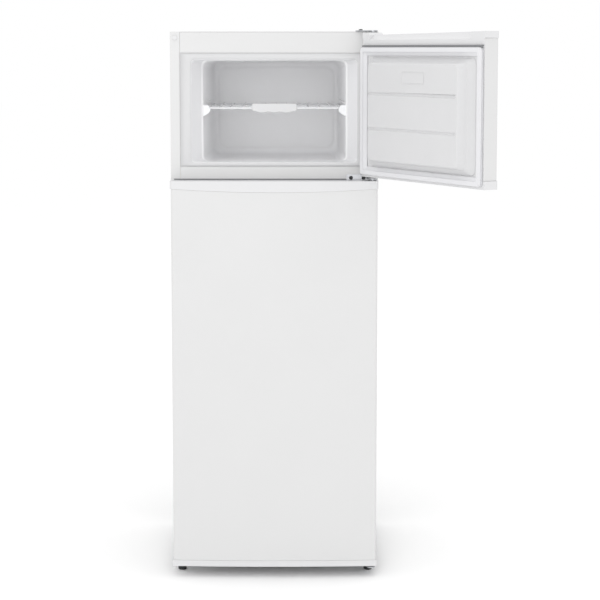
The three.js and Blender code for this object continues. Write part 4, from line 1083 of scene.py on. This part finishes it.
def make_lamp():
    """The lamp: a small pear bulb in a threaded cap."""
    low, high = span("lamp")
    z = (low.z + high.z) / 2
    y = (low.y + high.y) / 2
    length = high.x - low.x
    pear = [(0.1, 0), (4, 0.8), (8, 4), (10, 11), (9.6, 20), (8, 30), (6.6, 40), (6.4, 46)]
    bulb = turned(pear, 0, 0, 0, steps=40)
    crest, root, pitch = 6.9, 6.2, 2.8
    thread = []
    reach = 45.5
    while reach < length - 1:
        thread += [(crest, reach), (root, reach + 1.4)]
        reach += pitch
    cap = turned([*thread, (4, length - 0.4)], 0, 0, 0, steps=32)
    lay_down = Matrix.Translation((low.x, y, z)) @ Matrix.Rotation(math.pi / 2, 4, "Y")
    for bm in (bulb, cap):
        bmesh.ops.transform(bm, matrix=lay_down, verts=bm.verts)
    piece("lamp_bulb", bulb, opal_glass, "cabinet", ("lamp",), edge=0)
    piece("lamp_screw_cap", cap, zinc_plated_steel, "cabinet", edge=0)


# ---------------------------------------------------------------- carried-over CAD nodes
CARRIED = {
    # node: (finish, edge radius in millimetres)
    "cabinet_shell": (powder_coated_steel, 1.4),
    "top_rail": (powder_coated_steel, 1.0),
    "middle_rail": (powder_coated_steel, 1.0),
    "bottom_rail": (powder_coated_steel, 1.0),
    "freezer_door_skin": (powder_coated_steel, 0.4),
    "fridge_door_skin": (powder_coated_steel, 0.4),
    "freezer_door_bottom_cap": (moulded_abs, 1.0),
    "fridge_door_top_cap": (moulded_abs, 1.0),
    "fridge_door_bottom_cap": (moulded_abs, 1.0),
    "fridge_liner": (mouth_hips, 1.5),
    "fridge_door_liner": (painted_shade_hips, 1.5),
    "base_pan": (galvanised_sheet, 0.8),
    "back_panel": (galvanised_sheet, 0.3),
    "compressor_base_plate": (galvanised_sheet, 0.5),
    "freezer_evaporator": (rolled_aluminium, 0.4),
    "fridge_evaporator": (rolled_aluminium, 0.4),
    "cabinet_foam": (polyurethane_foam, 0),
    "fridge_door_foam": (polyurethane_foam, 0),
    "terminal_cover": (black_polypropylene, 1.5),
    "filter_drier": (drawn_copper, 0),
    "lead_gland": (black_polypropylene, 1.0),
    "top_hinge": (zinc_plated_steel, 0.6),
    "middle_hinge": (zinc_plated_steel, 0.5),
    "bottom_hinge": (zinc_plated_steel, 0.5),
    "freezer_door_bush": (black_polypropylene, 0.4),
    "hole_plug": (moulded_abs, 0.6),
    "thermostat_housing": (painted_bright_hips, 2.0),
    "light_switch_button": (moulded_abs, 0.8),
    "crisper_cover": (toughened_glass, 0.8),
    "glass_shelf_1": (toughened_glass, 0.8),
    "glass_shelf_2": (toughened_glass, 0.8),
    "shelf_trim_1": (moulded_abs, 1.5),
    "shelf_trim_2": (moulded_abs, 1.5),
}


def dress(name, material, edge):
    """Gives a CAD node its finish and rounds its edges, leaving its mesh as it is."""
    obj = frame["nodes"][name]
    if not obj.material_slots:
        obj.data.materials.append(material)
    for slot in obj.material_slots:
        slot.link = "OBJECT"
        slot.material = material
    soften(obj, edge, segments=3, tidy=True)


light_studio()
lay_floor()
for node_name, (material, edge_radius) in CARRIED.items():
    dress(node_name, material, edge_radius)
make_freezer_room()
make_wire_shelf()
make_shelf_supports()
make_seal("freezer_door", True)
make_seal("fridge_door", False)
make_freezer_door_panel()
make_freezer_door_foam()
make_freezer_top_cap()
make_gap_shadow_strip()
make_condenser()
make_compressor()
make_back_panel()
make_hinge_screws()
make_feet()
make_balconies()
make_crisper()
make_drip_tray()
make_thermostat()
make_lamp()
